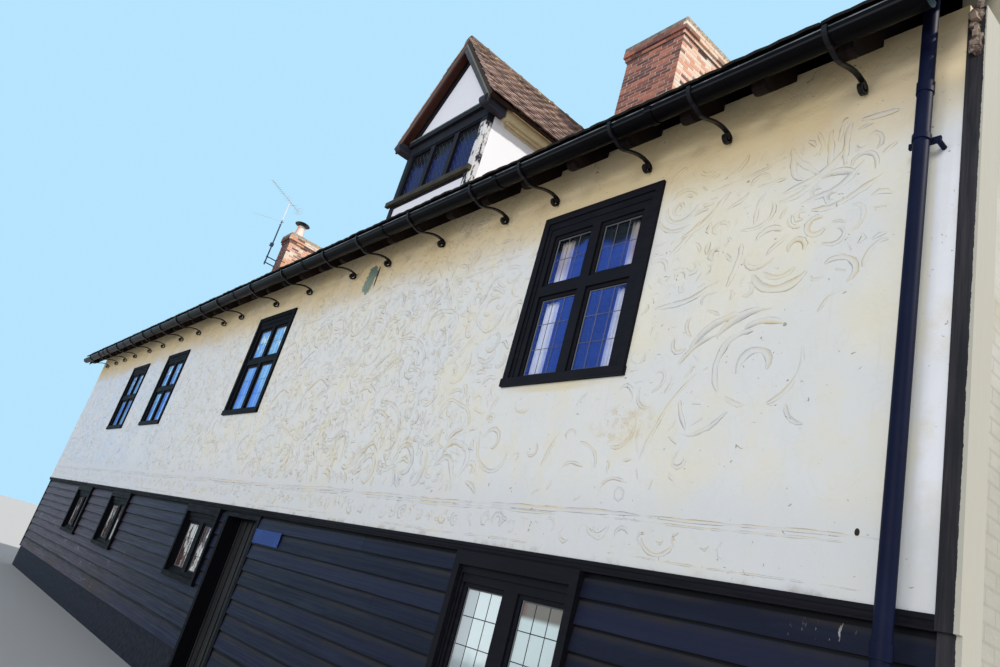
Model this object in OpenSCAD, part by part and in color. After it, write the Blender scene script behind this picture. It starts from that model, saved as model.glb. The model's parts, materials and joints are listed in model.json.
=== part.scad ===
// Half timbered house with a jettied, plastered upper storey over weatherboards.
// The street front faces -Y, X runs along it and Z is up from the lowest ground.
// In the modules below y = 0 is the plaster face of the street front.

/* [House] */
// Length along the street
house_l = 20800; // [19000:100:24000]
// Depth from the street plaster to the back plaster
house_d = 6100; // [5600:50:7000]
// Thickness of the upper walls
upper_t = 200; // [150:10:260]
// Thickness of the ground floor walls
lower_t = 220; // [220:10:300]
// How far the upper storey stands out over the ground floor
jetty = 50; // [30:5:80]
// Thickness of the party wall at the right end
party_t = 220; // [215:5:340]

/* [Levels] */
// Top of the ground floor
floor_z = 200; // [180:10:300]
// Top of the plinth
plinth_z = 450; // [420:10:560]
// Underside of the jetty beam
jetty_z = 2080; // [2080:10:2300]
// Height of the jetty beam
jetty_h = 64; // [50:2:120]
// Top of the upper walls
plate_z = 5440; // [5420:10:5800]
// Thickness of the upper floor and of the attic floor
deck_t = 200; // [150:10:260]

/* [Roof] */
// Pitch of the main roof in degrees
roof_pitch = 48; // [44:1:52]
// How far the tiles stand out from the street plaster
eave_out = 420; // [380:10:480]
// How far the tile edge lies below the top of the wall
eave_drop = 190; // [150:5:230]
// Thickness of tiles and battens, square to the slope
roof_t = 60; // [45:5:90]
// Depth of a rafter, square to the slope
rafter_h = 160; // [130:10:190]
// Width of a rafter
rafter_w = 95; // [75:5:120]
// Spacing of the rafters
rafter_gap = 562; // [450:10:700]
// How far the verge stands out from the left gable
verge_out = 70; // [50:5:120]
// Radius of the ridge tiles
ridge_r = 110; // [90:5:140]

/* [Upper windows] */
// Width of the proud casing round a window
casing_w = 65; // [60:5:90]
// How far a casing stands out from the wall face
casing_out = 25; // [20:5:60]
// Width of the fixed frame inside the casing
frame_w = 90; // [45:5:110]
// Width of the stiles and rails of a light
stile_w = 30; // [20:5:60]
// Width of the mullion and of the transom
mullion_w = 90; // [70:5:120]
// Height of the frame under the casing head
head_w = 126; // [90:2:150]
// Height of the upper lights
top_light = 425; // [350:5:500]
// Height of a window sill
sill_h = 66; // [45:3:90]
// How far a sill stands out beyond the casing
sill_out = 8; // [0:2:60]
// Thickness of a pane
glass_t = 6; // [4:1:12]

/* [Ground floor windows] */
// Width of a ground floor window over its casing
low_w = 1262; // [1100:2:1400]
// Height of a ground floor window over its casing
low_h = 945; // [800:5:1100]
// Height of the casing head
low_head = 95; // [70:5:110]
// Width of the fixed frame inside the casing of a ground floor window
low_frame = 37; // [30:1:60]
// Width of the mullion of a ground floor window
low_mullion = 140; // [90:5:160]
// Height of the frame under the casing head of a ground floor window
low_head_frame = 120; // [90:5:150]
// How far a ground floor casing stands out from its wall
low_out = 65; // [50:5:80]

/* [Front door] */
// Middle of the doorway along the street, from the middle of the house
door_x = 2720; // [2700:10:2900]
// Clear width of the doorway
door_w = 900; // [800:10:950]
// Top of the doorway
door_z = 2020; // [1950:5:2040]
// Width of a door jamb
jamb_w = 75; // [60:5:90]
// Thickness of the planks of the door
leaf_t = 57; // [40:1:60]
// Clearance round the door
door_gap = 8; // [8:1:12]
// Height of the threshold
threshold_z = 205; // [190:5:240]

/* [Dormer] */
// Middle of the dormer along the street
dormer_x = 3830; // [3000:10:3900]
// Distance of the dormer front behind the street plaster
dormer_y = 340; // [300:10:500]
// Width of the dormer over its posts
dormer_w = 1840; // [1600:20:1900]
// Height of the dormer ridge
dormer_z = 8870; // [8700:10:9000]
// Pitch of the dormer roof in degrees
dormer_pitch = 52; // [48:0.5:56]
// How far the dormer tiles stand out beyond its cheeks
dormer_eave = 200; // [100:10:200]
// How far the dormer verge stands out from its front
dormer_verge = 150; // [100:10:200]
// Thickness of the dormer tiles and battens, square to the slope
dormer_t = 50; // [40:5:70]
// Level of the underside of the dormer window sill
dormer_sill_z = 6410; // [6350:10:6500]

/* [Large chimney] */
// Left side of the stack
stack_x = 4460; // [4400:10:4600]
// Width of the stack along the street
stack_w = 1070; // [900:10:1150]
// Depth of the stack
stack_d = 1070; // [900:10:1200]
// Top of the stack with its cap
stack_z = 10230; // [10000:10:10500]
// Height of a course in the stacks
course = 72; // [65:1:80]
// How far each oversailing course stands out
oversail = 28; // [20:2:40]

/* [Small chimney] */
// Distance of the small stack from the left end
small_in = 1710; // [1500:50:2400]
// Width of the small stack along the street
small_w = 550; // [480:10:700]
// Depth of the small stack
small_d = 900; // [700:10:1000]
// Top of the small stack with its cap
small_z = 10210; // [10000:10:10400]
// Height of the chimney pot
pot_h = 375; // [300:5:600]
// Outer radius of the chimney pot at its rim
pot_r = 110; // [90:5:150]

/* [Gutter] */
// Radius of the half round gutter
gutter_r = 76; // [60:2:80]
// Wall thickness of the gutter
gutter_t = 5; // [3:1:8]
// Width of a scroll bracket along the street
scroll_w = 30; // [18:2:40]
// Thickness of the iron of a scroll bracket
scroll_t = 16; // [10:1:18]
// Outer radius of the downpipe
pipe_r = 40; // [35:1:60]

/* [Hidden] */
$fn = 48;
half_l = house_l / 2;
small_x = -half_l + small_in;
eave_z = plate_z - eave_drop;
ridge_y = house_d / 2;
slope = tan(roof_pitch);
ridge_z = roof_top(ridge_y);
roof_drop = roof_t / cos(roof_pitch);
rafter_drop = rafter_h / cos(roof_pitch);
chimney_gap = 10;

// Seat left between sloping faces that rest on each other
seat = 0.3;

// The corner post and the boards of the ends
post_w = 94;
post_out = 20;
beam_out = 15;
post_x = half_l - post_w;
low_face = jetty;
low_in = jetty + lower_t;
top_beam = jetty_z + jetty_h;

// Upper windows as left side, sill level, width and height
upper_windows = [
    [-6500, 3315, 1260, 1435],
    [-3885, 3335, 1285, 1440],
    [645, 3365, 1280, 1535],
    [7018, 3363, 1282, 1554],
];
// Left sides of the ground floor windows
low_windows = [-6580, -3600, 765, 7042];
// One window in each storey of the left gable, as left side along the depth
end_window_x = 2400;
end_window_z = 3350;
end_window_w = 1270;
end_window_h = 1430;
casing_lap = 30;
window_gap = 3;
frame_d = 110;

// Doorway
jamb_l = door_x - door_w / 2 - jamb_w;
jamb_r = door_x + door_w / 2 + jamb_w;
leaf_y = low_face + 150;
strip_t = 12;
strip_w = 45;
stop_t = 14;

// Hook and band hinges inside the door
pin_r = 8;
eye_r = 14;
pin_gap = 0.3;
band_h = 40;
band_t = 6;
hinge_x = door_x - door_w / 2 + 5;
hinge_y = leaf_y + leaf_t - strip_t + eye_r + 1;
hinge_z = [520, 1640];

// Dormer
d_slope = tan(dormer_pitch);
d_drop = dormer_t / cos(dormer_pitch);
d_half = dormer_w / 2;
d_reach = d_half + dormer_eave;
d_eave_z = dormer_z - d_reach * d_slope;
d_under = dormer_z - d_drop;
d_post_w = 110;
d_post_d = 100;
d_cheek_t = 90;
d_head_h = 267;
d_cornice_h = 120;
d_sill_h = 136;
d_plate_z = d_under - d_half * d_slope;
d_head_top = d_plate_z - 59;
d_head_z = d_head_top - d_head_h;
d_light_w = 460;
d_pitch = 550;
d_glass_x = dormer_x - d_light_w / 2 - d_pitch;

// Gutter and eaves
gutter_y = -eave_out - 4;
gutter_z = eave_z - 81;
foot_y = gutter_y + gutter_r + 10;
pipe_x = post_x - 152;
pipe_y = -120;
pipe_z = plate_z + 1160;
socket_z = [1915, 4790];
socket_h = 70;
ear_z = [1550, 4480];
ear_h = 34;
ear_half = 80;
ear_t = 18;

// Places of the scroll brackets, in thousandths of the length from the middle
scroll_place = [469, 424, 390, 341, 308, 258, 206, 166, 107, 53, -14, -53,
                -117, -167, -226, -275, -333, -378, -419, -464];
scroll_x = [for (part = scroll_place) part * house_l / 1000];
// Collars of the gutter, between every other pair of brackets
collar_w = 60;
collar_x = [for (i = [1:2:17]) (scroll_x[i] + scroll_x[i + 1] - collar_w) / 2];

// Aerial on the small stack
mast_r = 19;
mast_x = small_x + 30;
mast_y = ridge_y - small_d / 2 - 280;
mast_z0 = small_z - 1070;
mast_z1 = small_z + 1050;
mast_arms = [60, 240];
boom_r = 9;
boom_off = mast_r + boom_r + seat;
boom_turn = 127;
boom_front = 1120;
boom_back = 470;

function roof_top(y) = eave_z + (y + eave_out) * slope;
function rafter_top(y) = roof_top(y) - roof_drop - seat;
function roof_seat(y) = roof_top(y) + seat;
function rafter_under(y) = rafter_top(y) - rafter_drop;
function roof_y(z) = (z - seat - eave_z) / slope - eave_out;
function dormer_under(x) = d_under - seat - abs(x - dormer_x) * d_slope;

// The frame's origin is on the ground at the middle of the footprint
module seated() {
    translate([0, -house_d / 2, 0]) children();
}

// A box from its lowest to its highest corner
module block(x0, y0, z0, x1, y1, z1) {
    translate([x0, y0, z0]) cube([x1 - x0, y1 - y0, z1 - z0]);
}

// Turns the street front's windows and eaves round to the back
module to_back() {
    translate([0, house_d, 0]) rotate([0, 0, 180]) children();
}

// Brings a piece drawn on the street front to the left gable
module to_gable() {
    translate([-half_l, house_d, 0]) rotate([0, 0, -90]) children();
}

// An outline drawn in depth and height, drawn out along the street
module along(x0, x1) {
    translate([x0, 0, 0]) rotate([90, 0, 90]) linear_extrude(x1 - x0) children();
}

// An outline drawn in width and height, drawn out in depth
module into(y0, y1) {
    translate([0, y1, 0]) rotate([90, 0, 0]) linear_extrude(y1 - y0) children();
}

// Plinth and floors
module plinth() {
    color([0.16, 0.16, 0.18]) seated() difference() {
        union() {
            block(-half_l + jetty, low_face, 0,
                  half_l - party_t, house_d - low_face, plinth_z);
            block(jamb_r, low_face, 0, post_x, upper_t, plinth_z);
        }
        block(-half_l + jetty + lower_t, low_in, -1,
              half_l, house_d - low_in, plinth_z + 1);
        block(jamb_l, 0, -1, jamb_r, low_in + 1, plinth_z + 1);
    }
}

module ground_floor() {
    color([0.45, 0.40, 0.35]) seated()
        block(-half_l + jetty + lower_t, low_in, 0,
              half_l - party_t, house_d - low_in, floor_z);
}

module deck(z) {
    difference() {
        block(-half_l + upper_t, upper_t, z, half_l - party_t, house_d - upper_t, z + deck_t);
        stack_holes(z - 1, z + deck_t + 1);
    }
}

module stack_holes(z0, z1) {
    block(stack_x - chimney_gap, ridge_y - stack_d / 2 - chimney_gap, z0,
          stack_x + stack_w + chimney_gap, ridge_y + stack_d / 2 + chimney_gap, z1);
    block(small_x - chimney_gap, ridge_y - small_d / 2 - chimney_gap, z0,
          small_x + small_w + chimney_gap, ridge_y + small_d / 2 + chimney_gap, z1);
}

module upper_floor() {
    color([0.50, 0.40, 0.30]) seated() deck(jetty_z);
}

module attic_floor() {
    color([0.50, 0.40, 0.30]) seated() deck(plate_z - deck_t);
}

// Walls
module low_hole(x) {
    block(x + casing_lap, low_face - 1, jetty_z - low_h + casing_lap,
          x + low_w - casing_lap, low_in + 1, jetty_z + 1);
}

module upper_hole(w) {
    block(w[0] + casing_lap, -1, w[1] + sill_h,
          w[0] + w[2] - casing_lap, upper_t + 1, w[1] + w[3] - casing_lap);
}

module low_front(x0, x1) {
    difference() {
        block(x0, low_face, plinth_z, x1, low_in, jetty_z);
        for (x = low_windows) low_hole(x);
        block(half_l - party_t, upper_t, 0, half_l, low_in + 1, jetty_z + 1);
    }
}

module front_wall_lower_left() {
    color([0.10, 0.10, 0.13]) seated() low_front(-half_l + jetty, jamb_l);
}

module front_wall_lower_right() {
    color([0.10, 0.10, 0.13]) seated() low_front(jamb_r, post_x);
}

module back_wall_lower() {
    color([0.10, 0.10, 0.13]) seated() to_back()
        low_front(-half_l + party_t, half_l - jetty);
}

module gable_wall_lower() {
    color([0.10, 0.10, 0.13]) seated() to_gable() difference() {
        block(low_in, low_face, plinth_z, house_d - low_in, low_in, jetty_z);
        low_hole(end_window_x);
    }
}

// A beam with a rounded nose over a hollow
module beam_profile() {
    polygon([[upper_t, jetty_z], [upper_t, top_beam], [-beam_out + 5, top_beam],
             [-beam_out, top_beam - 6], [-beam_out, top_beam - 24],
             [-beam_out + 6, top_beam - 30], [-beam_out + 8, top_beam - 44],
             [0, jetty_z + 6], [0, jetty_z]]);
}

module jetty_beams() {
    color([0.08, 0.08, 0.09]) seated() {
        along(-half_l, post_x) beam_profile();
        to_back() along(-half_l + party_t, half_l) beam_profile();
        to_gable() along(upper_t, house_d - upper_t) beam_profile();
    }
}

module front_wall_upper() {
    color([0.93, 0.89, 0.78]) seated() difference() {
        block(-half_l, 0, top_beam, post_x, upper_t, plate_z);
        for (w = upper_windows) upper_hole(w);
    }
}

module back_wall_upper() {
    color([0.93, 0.89, 0.78]) seated() to_back() difference() {
        block(-half_l + party_t, 0, top_beam, half_l, upper_t, plate_z);
        for (w = upper_windows) upper_hole(w);
    }
}

// The outline of an end wall up to the underside of the tiles
module end_outline(y0, y1, z0) {
    polygon([[y0, z0], [y0, rafter_top(y0)], [ridge_y, rafter_top(ridge_y)],
             [y1, rafter_top(house_d - y1)], [y1, z0]]);
}

module gable_wall_upper() {
    color([0.93, 0.89, 0.78]) seated() {
        to_gable() difference() {
            block(upper_t, 0, top_beam, house_d - upper_t, upper_t, plate_z);
            upper_hole([end_window_x, end_window_z, end_window_w, end_window_h]);
        }
        along(-half_l, -half_l + upper_t) end_outline(0, house_d, plate_z);
    }
}

module party_wall() {
    color([0.80, 0.76, 0.68]) seated()
        along(half_l - party_t, half_l) end_outline(upper_t, house_d, 0);
}

// Corner post at the right of the front, slimmer below the jetty
module corner_post() {
    color([0.13, 0.12, 0.12]) seated() {
        block(post_x, -post_out, jetty_z, half_l, upper_t, rafter_under(-post_out));
        block(post_x, low_face - post_out - 20, 0, half_l, upper_t, jetty_z);
    }
}

// Roof
function rafter_end(x) =
    in_dormer(x) ? dormer_y + d_post_d
    : in_span(x, stack_x, stack_w) ? ridge_y - stack_d / 2 - chimney_gap - 5
    : in_span(x, small_x, small_w) ? ridge_y - small_d / 2 - chimney_gap - 5
    : ridge_y;
function in_span(x, x0, w) = x > x0 - rafter_w / 2 - 20 && x < x0 + w + rafter_w / 2 + 20;
function in_dormer(x) = abs(x - dormer_x) < d_half - d_cheek_t + rafter_w / 2;

// A rafter with a curved foot, notched over the wall
module rafter_outline(y1) {
    foot_r = 120;
    polygon(concat(
        [[y1, rafter_under(y1)], [y1, rafter_top(y1)], [foot_y, rafter_top(foot_y)]],
        [for (a = [0:15:90])
            let (y = foot_y + foot_r * (1 - cos(a)))
            [y, rafter_under(y) + (rafter_drop - 40) * (1 - sin(a))]]));
}

module rafter(x, y1) {
    difference() {
        along(x - rafter_w / 2, x + rafter_w / 2) rafter_outline(y1);
        block(x - rafter_w, 0, top_beam, x + rafter_w, y1 + 1, plate_z);
    }
}

// The rafters are set out from the right end, and one more stands against the gable
rafter_last = half_l - 614;
rafter_count = floor((rafter_last + half_l - upper_t) / rafter_gap);
rafter_x = concat([-half_l + upper_t + rafter_w / 2 + 2],
                  [for (i = [0:rafter_count - 1]) rafter_last - i * rafter_gap]);

module rafters_front() {
    color([0.24, 0.17, 0.13]) seated()
        for (x = rafter_x) rafter(x, rafter_end(x));
}

module rafters_back() {
    color([0.24, 0.17, 0.13]) seated() to_back()
        for (x = rafter_x) rafter(-x, in_dormer(x) ? ridge_y : rafter_end(x));
}

module slope_outline() {
    under_y = -eave_out + roof_t * sin(roof_pitch);
    polygon([[-eave_out, eave_z], [ridge_y, ridge_z], [ridge_y, ridge_z - roof_drop],
             [under_y, eave_z - roof_t * cos(roof_pitch)]]);
}

// The room under the dormer roof, between its cheeks
module dormer_room() {
    into(dormer_y + d_post_d, ridge_y + 10) polygon([
        [dormer_x - d_half + d_cheek_t, plate_z],
        [dormer_x - d_half + d_cheek_t, dormer_under(dormer_x - d_half + d_cheek_t)],
        [dormer_x, d_under],
        [dormer_x + d_half - d_cheek_t, dormer_under(dormer_x + d_half - d_cheek_t)],
        [dormer_x + d_half - d_cheek_t, plate_z]]);
}

module roof_front() {
    color([0.42, 0.26, 0.20]) seated() difference() {
        along(-half_l - verge_out, half_l) slope_outline();
        stack_holes(plate_z, ridge_z + 10);
        dormer_room();
        translate([pipe_x, pipe_y, eave_z])
            cylinder(h = 1000, r = pipe_r + chimney_gap);
    }
}

module roof_back() {
    color([0.42, 0.26, 0.20]) seated() difference() {
        to_back() along(-half_l, half_l + verge_out) slope_outline();
        stack_holes(plate_z, ridge_z + 10);
    }
}

// Half round ridge tiles, as one run between the chimneys
module ridge_run(x0, x1) {
    lift = ridge_z - 40;
    difference() {
        translate([x0, ridge_y, lift]) rotate([90, 0, 90])
            linear_extrude(x1 - x0) difference() {
                circle(ridge_r);
                circle(ridge_r - 18);
            }
        along(x0 - 1, x1 + 1) polygon([
            [ridge_y - 3 * ridge_r, ridge_z - 3 * ridge_r * slope + seat],
            [ridge_y, ridge_z + seat],
            [ridge_y + 3 * ridge_r, ridge_z - 3 * ridge_r * slope + seat]]);
    }
}

module ridge_tiles() {
    color([0.45, 0.28, 0.21]) seated() {
        ridge_run(-half_l - verge_out, small_x - chimney_gap);
        ridge_run(small_x + small_w + chimney_gap, stack_x - chimney_gap);
        ridge_run(stack_x + stack_w + chimney_gap, half_l);
    }
}

// Boards under the verge of the left gable
board_h = 200;
module bargeboard() {
    along(-half_l - 35, -half_l) polygon([
        [foot_y, rafter_top(foot_y)], [ridge_y, rafter_top(ridge_y)],
        [ridge_y, rafter_top(ridge_y) - board_h / cos(roof_pitch)],
        [foot_y, rafter_top(foot_y) - board_h / cos(roof_pitch) * 0.6]]);
}

module bargeboards() {
    color([0.10, 0.10, 0.11]) seated() {
        bargeboard();
        translate([0, house_d, 0]) mirror([0, 1, 0]) bargeboard();
    }
}

// Windows
module ring(x0, z0, x1, z1, y0, y1, w, head) {
    difference() {
        block(x0, y0, z0, x1, y1, z1);
        block(x0 + w, y0 - 1, z0 + w, x1 - w, y1 + 1, z1 - head);
    }
}

// The glass of a light, given by its left side, right side, foot and head
function light_z0(w) = w[1] + sill_h + stile_w;
function light_z1(w) = w[1] + w[3] - casing_w - head_w - stile_w;
function transom_z(w) = light_z1(w) - top_light - stile_w - mullion_w / 2;
function lights(w) = let (
    x0 = w[0] + casing_w + frame_w + stile_w,
    x1 = w[0] + w[2] - casing_w - frame_w - stile_w,
    mid = (x0 + x1) / 2,
    half = mullion_w / 2 + stile_w)
    [for (a = [[x0, mid - half], [mid + half, x1]])
        for (b = [[light_z0(w), transom_z(w) - half], [transom_z(w) + half, light_z1(w)]])
            [a[0], a[1], b[0], b[1]]];

// A casing on the wall, a fixed frame with mullion and transom, four lights and a sill
module upper_frame(w) {
    x0 = w[0];
    x1 = w[0] + w[2];
    z0 = w[1] + sill_h;
    z1 = w[1] + w[3];
    difference() {
        union() {
            block(x0, -casing_out, z0, x1, 0, z1);
            block(x0 + casing_lap + window_gap, -1, z0,
                  x1 - casing_lap - window_gap, frame_d, z1 - casing_lap - window_gap);
            block(x0 - sill_out, -casing_out - sill_out, w[1], x1 + sill_out, 0, z0);
        }
        block(x0 + casing_w, -casing_out - 1, z0, x1 - casing_w, -10, z1 - casing_w);
        block(x0 + casing_w + 35, -11, z0, x1 - casing_w - 35, -2, z1 - casing_w - 60);
        for (l = lights(w)) {
            block(l[0] - stile_w, -11, l[2] - stile_w, l[1] + stile_w, 16, l[3] + stile_w);
            block(l[0], -30, l[2], l[1], frame_d + 1, l[3]);
        }
    }
}

module upper_panes(w) {
    for (l = lights(w)) block(l[0], 34, l[2], l[1], 34 + glass_t, l[3]);
}

// Every upper window: the front, the back and the left gable
module each_upper(kind) {
    for (w = upper_windows) window_piece(kind, w);
    to_back() for (w = upper_windows) window_piece(kind, w);
    to_gable() window_piece(kind, [end_window_x, end_window_z, end_window_w, end_window_h]);
}

module window_piece(kind, w) {
    if (kind == "frame") upper_frame(w);
    if (kind == "glass") upper_panes(w);
}

module upper_window_frames() {
    color([0.07, 0.07, 0.08]) seated() each_upper("frame");
}

module upper_glass() {
    color([0.20, 0.32, 0.55, 0.6]) seated() each_upper("glass");
}

// A ground floor window: a deep casing round two lights
function low_lights(x) = let (
    side = casing_w + low_frame + stile_w,
    mid = x + low_w / 2,
    half = low_mullion / 2 + stile_w)
    [for (a = [[x + side, mid - half], [mid + half, x + low_w - side]])
        [a[0], a[1], jetty_z - low_h + side + 12,
         jetty_z - low_head - low_head_frame - stile_w + 10]];

module low_frame_piece(x) {
    x1 = x + low_w;
    z0 = jetty_z - low_h;
    difference() {
        union() {
            block(x, low_face - low_out, z0, x1, low_face, jetty_z);
            block(x + casing_lap + window_gap, low_face - 1, z0 + casing_lap,
                  x1 - casing_lap - window_gap, low_face + frame_d, jetty_z);
        }
        block(x + casing_w, low_face - low_out - 1, z0 + casing_w,
              x1 - casing_w, low_face - 25, jetty_z - low_head);
        block(x + casing_w + 15, low_face - 26, z0 + casing_w + 15,
              x1 - casing_w - 15, low_face - 10, jetty_z - low_head - 50);
        for (l = low_lights(x)) {
            block(l[0] - stile_w, low_face - 40, l[2] - stile_w,
                  l[1] + stile_w, low_face + 8, l[3] + stile_w);
            block(l[0], low_face - 40, l[2], l[1], low_face + frame_d + 1, l[3]);
        }
    }
}

module low_panes(x) {
    for (l = low_lights(x)) block(l[0], low_face + 27, l[2], l[1], low_face + 27 + glass_t, l[3]);
}

module lower_window_frames() {
    color([0.07, 0.07, 0.08]) seated() {
        for (x = low_windows) low_frame_piece(x);
        to_back() for (x = low_windows) low_frame_piece(x);
        to_gable() low_frame_piece(end_window_x);
    }
}

module lower_glass() {
    color([0.55, 0.62, 0.66, 0.6]) seated() {
        for (x = low_windows) low_panes(x);
        to_back() for (x = low_windows) low_panes(x);
        to_gable() low_panes(end_window_x);
    }
}

// Front door
module door_frame() {
    color([0.08, 0.08, 0.09]) seated() difference() {
        block(jamb_l, low_face - 30, threshold_z, jamb_r, leaf_y + leaf_t - strip_t, jetty_z);
        block(jamb_l + jamb_w + stop_t, low_face - 31, threshold_z - 1,
              jamb_r - jamb_w - stop_t, low_in + 1, door_z - stop_t);
        block(jamb_l + jamb_w, low_face - 31, threshold_z - 1,
              jamb_r - jamb_w, leaf_y - strip_t - 5 - stop_t, door_z);
        block(jamb_l + jamb_w, leaf_y - strip_t - 5, threshold_z - 1,
              jamb_r - jamb_w, low_in + 1, door_z);
    }
}

module threshold() {
    color([0.30, 0.29, 0.28]) seated()
        block(jamb_l, low_face - 30, 0, jamb_r, low_in, threshold_z);
}

leaf_x0 = door_x - door_w / 2 + door_gap;
leaf_x1 = door_x + door_w / 2 - door_gap;
leaf_z0 = threshold_z + door_gap;
leaf_z1 = door_z - door_gap;
strip_count = 6;

module front_door() {
    color([0.09, 0.09, 0.10]) seated() {
        block(leaf_x0, leaf_y, leaf_z0, leaf_x1, leaf_y + leaf_t - strip_t, leaf_z1);
        for (i = [0:strip_count - 1])
            translate([leaf_x0 + 14 + i * (leaf_x1 - leaf_x0 - 28 - strip_w)
                       / (strip_count - 1), leaf_y - strip_t, leaf_z0])
                cube([strip_w, strip_t, leaf_z1 - leaf_z0]);
    }
}

// Ring handle on its rose, at the free side of the door
module door_ring() {
    color([0.05, 0.05, 0.05]) seated()
        translate([leaf_x1 - 122, leaf_y, 1080]) {
            rotate([90, 0, 0]) cylinder(h = 6, r = 36);
            rotate([90, 0, 0]) cylinder(h = 30, r = 9);
            translate([0, -24, -30]) rotate([90, 0, 0])
                rotate_extrude() translate([30, 0]) circle(6, $fn = 24);
        }
}

// Bands on the inner face of the door, each with an eye over its pintle
module door_hinges() {
    color([0.05, 0.05, 0.05]) seated() for (z = hinge_z) difference() {
        union() {
            translate([hinge_x, hinge_y, z]) cylinder(h = band_h, r = eye_r);
            block(hinge_x, hinge_y - eye_r - 1, z, leaf_x0 + 420,
                  hinge_y - eye_r - 1 + band_t, z + band_h);
        }
        translate([hinge_x, hinge_y, z - 1]) cylinder(h = band_h + 2, r = pin_r + pin_gap);
    }
}

// Pintles on the inner face of the left jamb
module door_pintles() {
    color([0.05, 0.05, 0.05]) seated() for (z = hinge_z) {
        translate([hinge_x, hinge_y, z - 20]) cylinder(h = band_h + 26, r = pin_r);
        translate([hinge_x, hinge_y, z - 20]) cylinder(h = 20 - pin_gap, r = pin_r + 2);
        block(hinge_x - 12, hinge_y - 8, z - 20, hinge_x, hinge_y, z - pin_gap);
        block(hinge_x - 50, hinge_y - eye_r - 1, z - 60,
              hinge_x - 9, hinge_y - 7, z - 6);
    }
}

// A bare plate on the boards beside the door, held by four fixings
module name_plate() {
    x0 = jamb_r + 15;
    z0 = 1790;
    color([0.08, 0.12, 0.35]) seated() {
        block(x0, 14, z0, x0 + 680, 18, z0 + 150);
        for (x = [x0 + 25, x0 + 655])
            for (z = [z0 + 25, z0 + 125])
                translate([x, low_face, z]) rotate([90, 0, 0])
                    cylinder(h = low_face - 10, r = 8, $fn = 24);
    }
}

// Dormer
module d_post(x) {
    difference() {
        along(x, x + d_post_w) polygon([
            [dormer_y, roof_seat(dormer_y)], [dormer_y, d_head_z],
            [dormer_y + d_post_d, d_head_z],
            [dormer_y + d_post_d, roof_seat(dormer_y + d_post_d)]]);
    }
}

module dormer_frame() {
    color([0.12, 0.11, 0.11]) seated() {
        d_post(dormer_x - d_half);
        d_post(dormer_x + d_half - d_post_w);
        block(dormer_x - d_half, dormer_y - 5, d_head_z,
              dormer_x + d_half, dormer_y + d_post_d, d_head_top);
        block(dormer_x - d_half, dormer_y - 50, d_head_top - d_cornice_h,
              dormer_x + d_half, dormer_y - 4, d_head_top - 25);
        block(dormer_x - d_half, dormer_y - 30, d_head_top - 26,
              dormer_x + d_half, dormer_y - 4, d_head_top);
        into(dormer_y - 10, dormer_y + d_post_d) difference() {
            polygon([[dormer_x - d_half, d_head_top - 1],
                     [dormer_x - d_half, dormer_under(dormer_x - d_half)],
                     [dormer_x, dormer_under(dormer_x)],
                     [dormer_x + d_half, dormer_under(dormer_x + d_half)],
                     [dormer_x + d_half, d_head_top - 1]]);
            gable_panel_outline();
        }
    }
}

module gable_panel_outline() {
    foot = d_half - 110;
    polygon([[dormer_x - foot, d_head_top], [dormer_x, d_head_top + foot * d_slope],
             [dormer_x + foot, d_head_top]]);
}

module dormer_panels() {
    color([0.94, 0.94, 0.95]) seated() {
        into(dormer_y + 10, dormer_y + 80) gable_panel_outline();
        along(dormer_x - d_half + d_post_w, dormer_x + d_half - d_post_w) polygon([
            [dormer_y + 12, roof_seat(dormer_y + 12)], [dormer_y + 12, dormer_sill_z],
            [dormer_y + 92, dormer_sill_z], [dormer_y + 92, roof_seat(dormer_y + 92)]]);
    }
}

// The space under the dormer tiles over the whole width of the dormer
module under_dormer_tiles() {
    into(dormer_y, ridge_y) polygon([
        [dormer_x - d_half, plate_z], [dormer_x - d_half, dormer_under(dormer_x - d_half)],
        [dormer_x, dormer_under(dormer_x)],
        [dormer_x + d_half, dormer_under(dormer_x + d_half)],
        [dormer_x + d_half, plate_z]]);
}

module dormer_cheeks() {
    color([0.96, 0.96, 0.97]) seated() intersection() {
        under_dormer_tiles();
        for (x = [dormer_x - d_half, dormer_x + d_half - d_cheek_t])
            along(x, x + d_cheek_t) polygon([
                [dormer_y + d_post_d, roof_seat(dormer_y + d_post_d)],
                [dormer_y + d_post_d, d_under], [roof_y(d_under), d_under]]);
    }
}

module dormer_window() {
    x0 = dormer_x - d_half + d_post_w;
    x1 = dormer_x + d_half - d_post_w;
    color([0.12, 0.11, 0.11]) seated() {
        difference() {
            block(x0, dormer_y + 8, dormer_sill_z, x1, dormer_y + 92, d_head_z);
            for (i = [0:2])
                block(d_glass_x + i * d_pitch, dormer_y, dormer_sill_z + d_sill_h,
                      d_glass_x + i * d_pitch + d_light_w, dormer_y + 100, d_head_z - 20);
        }
        block(dormer_x - d_half - 60, dormer_y - 55, dormer_sill_z + 40,
              dormer_x + d_half + 15, dormer_y, dormer_sill_z + 110);
        block(x0, dormer_y - 1, dormer_sill_z + 40, x1, dormer_y + 9, dormer_sill_z + 110);
    }
}

module dormer_glass() {
    color([0.14, 0.24, 0.55, 0.6]) seated()
        for (i = [0:2])
            block(d_glass_x + i * d_pitch, dormer_y + 50, dormer_sill_z + d_sill_h,
                  d_glass_x + i * d_pitch + d_light_w, dormer_y + 50 + glass_t,
                  d_head_z - 20);
}

// Plates along the tops of the cheeks, with rounded ends that carry the verge
plate_w = 120;
module dormer_plate() {
    z1 = dormer_under(dormer_x + d_half + plate_w) - 2;
    z0 = z1 - 130;
    front = dormer_y - dormer_verge - 40;
    along(dormer_x + d_half, dormer_x + d_half + plate_w) union() {
        translate([front + 65, z0 + 65]) circle(65);
        polygon([[front + 65, z0], [front + 65, z1], [roof_y(z1), z1],
                 [roof_y(z0), z0]]);
    }
}

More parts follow.
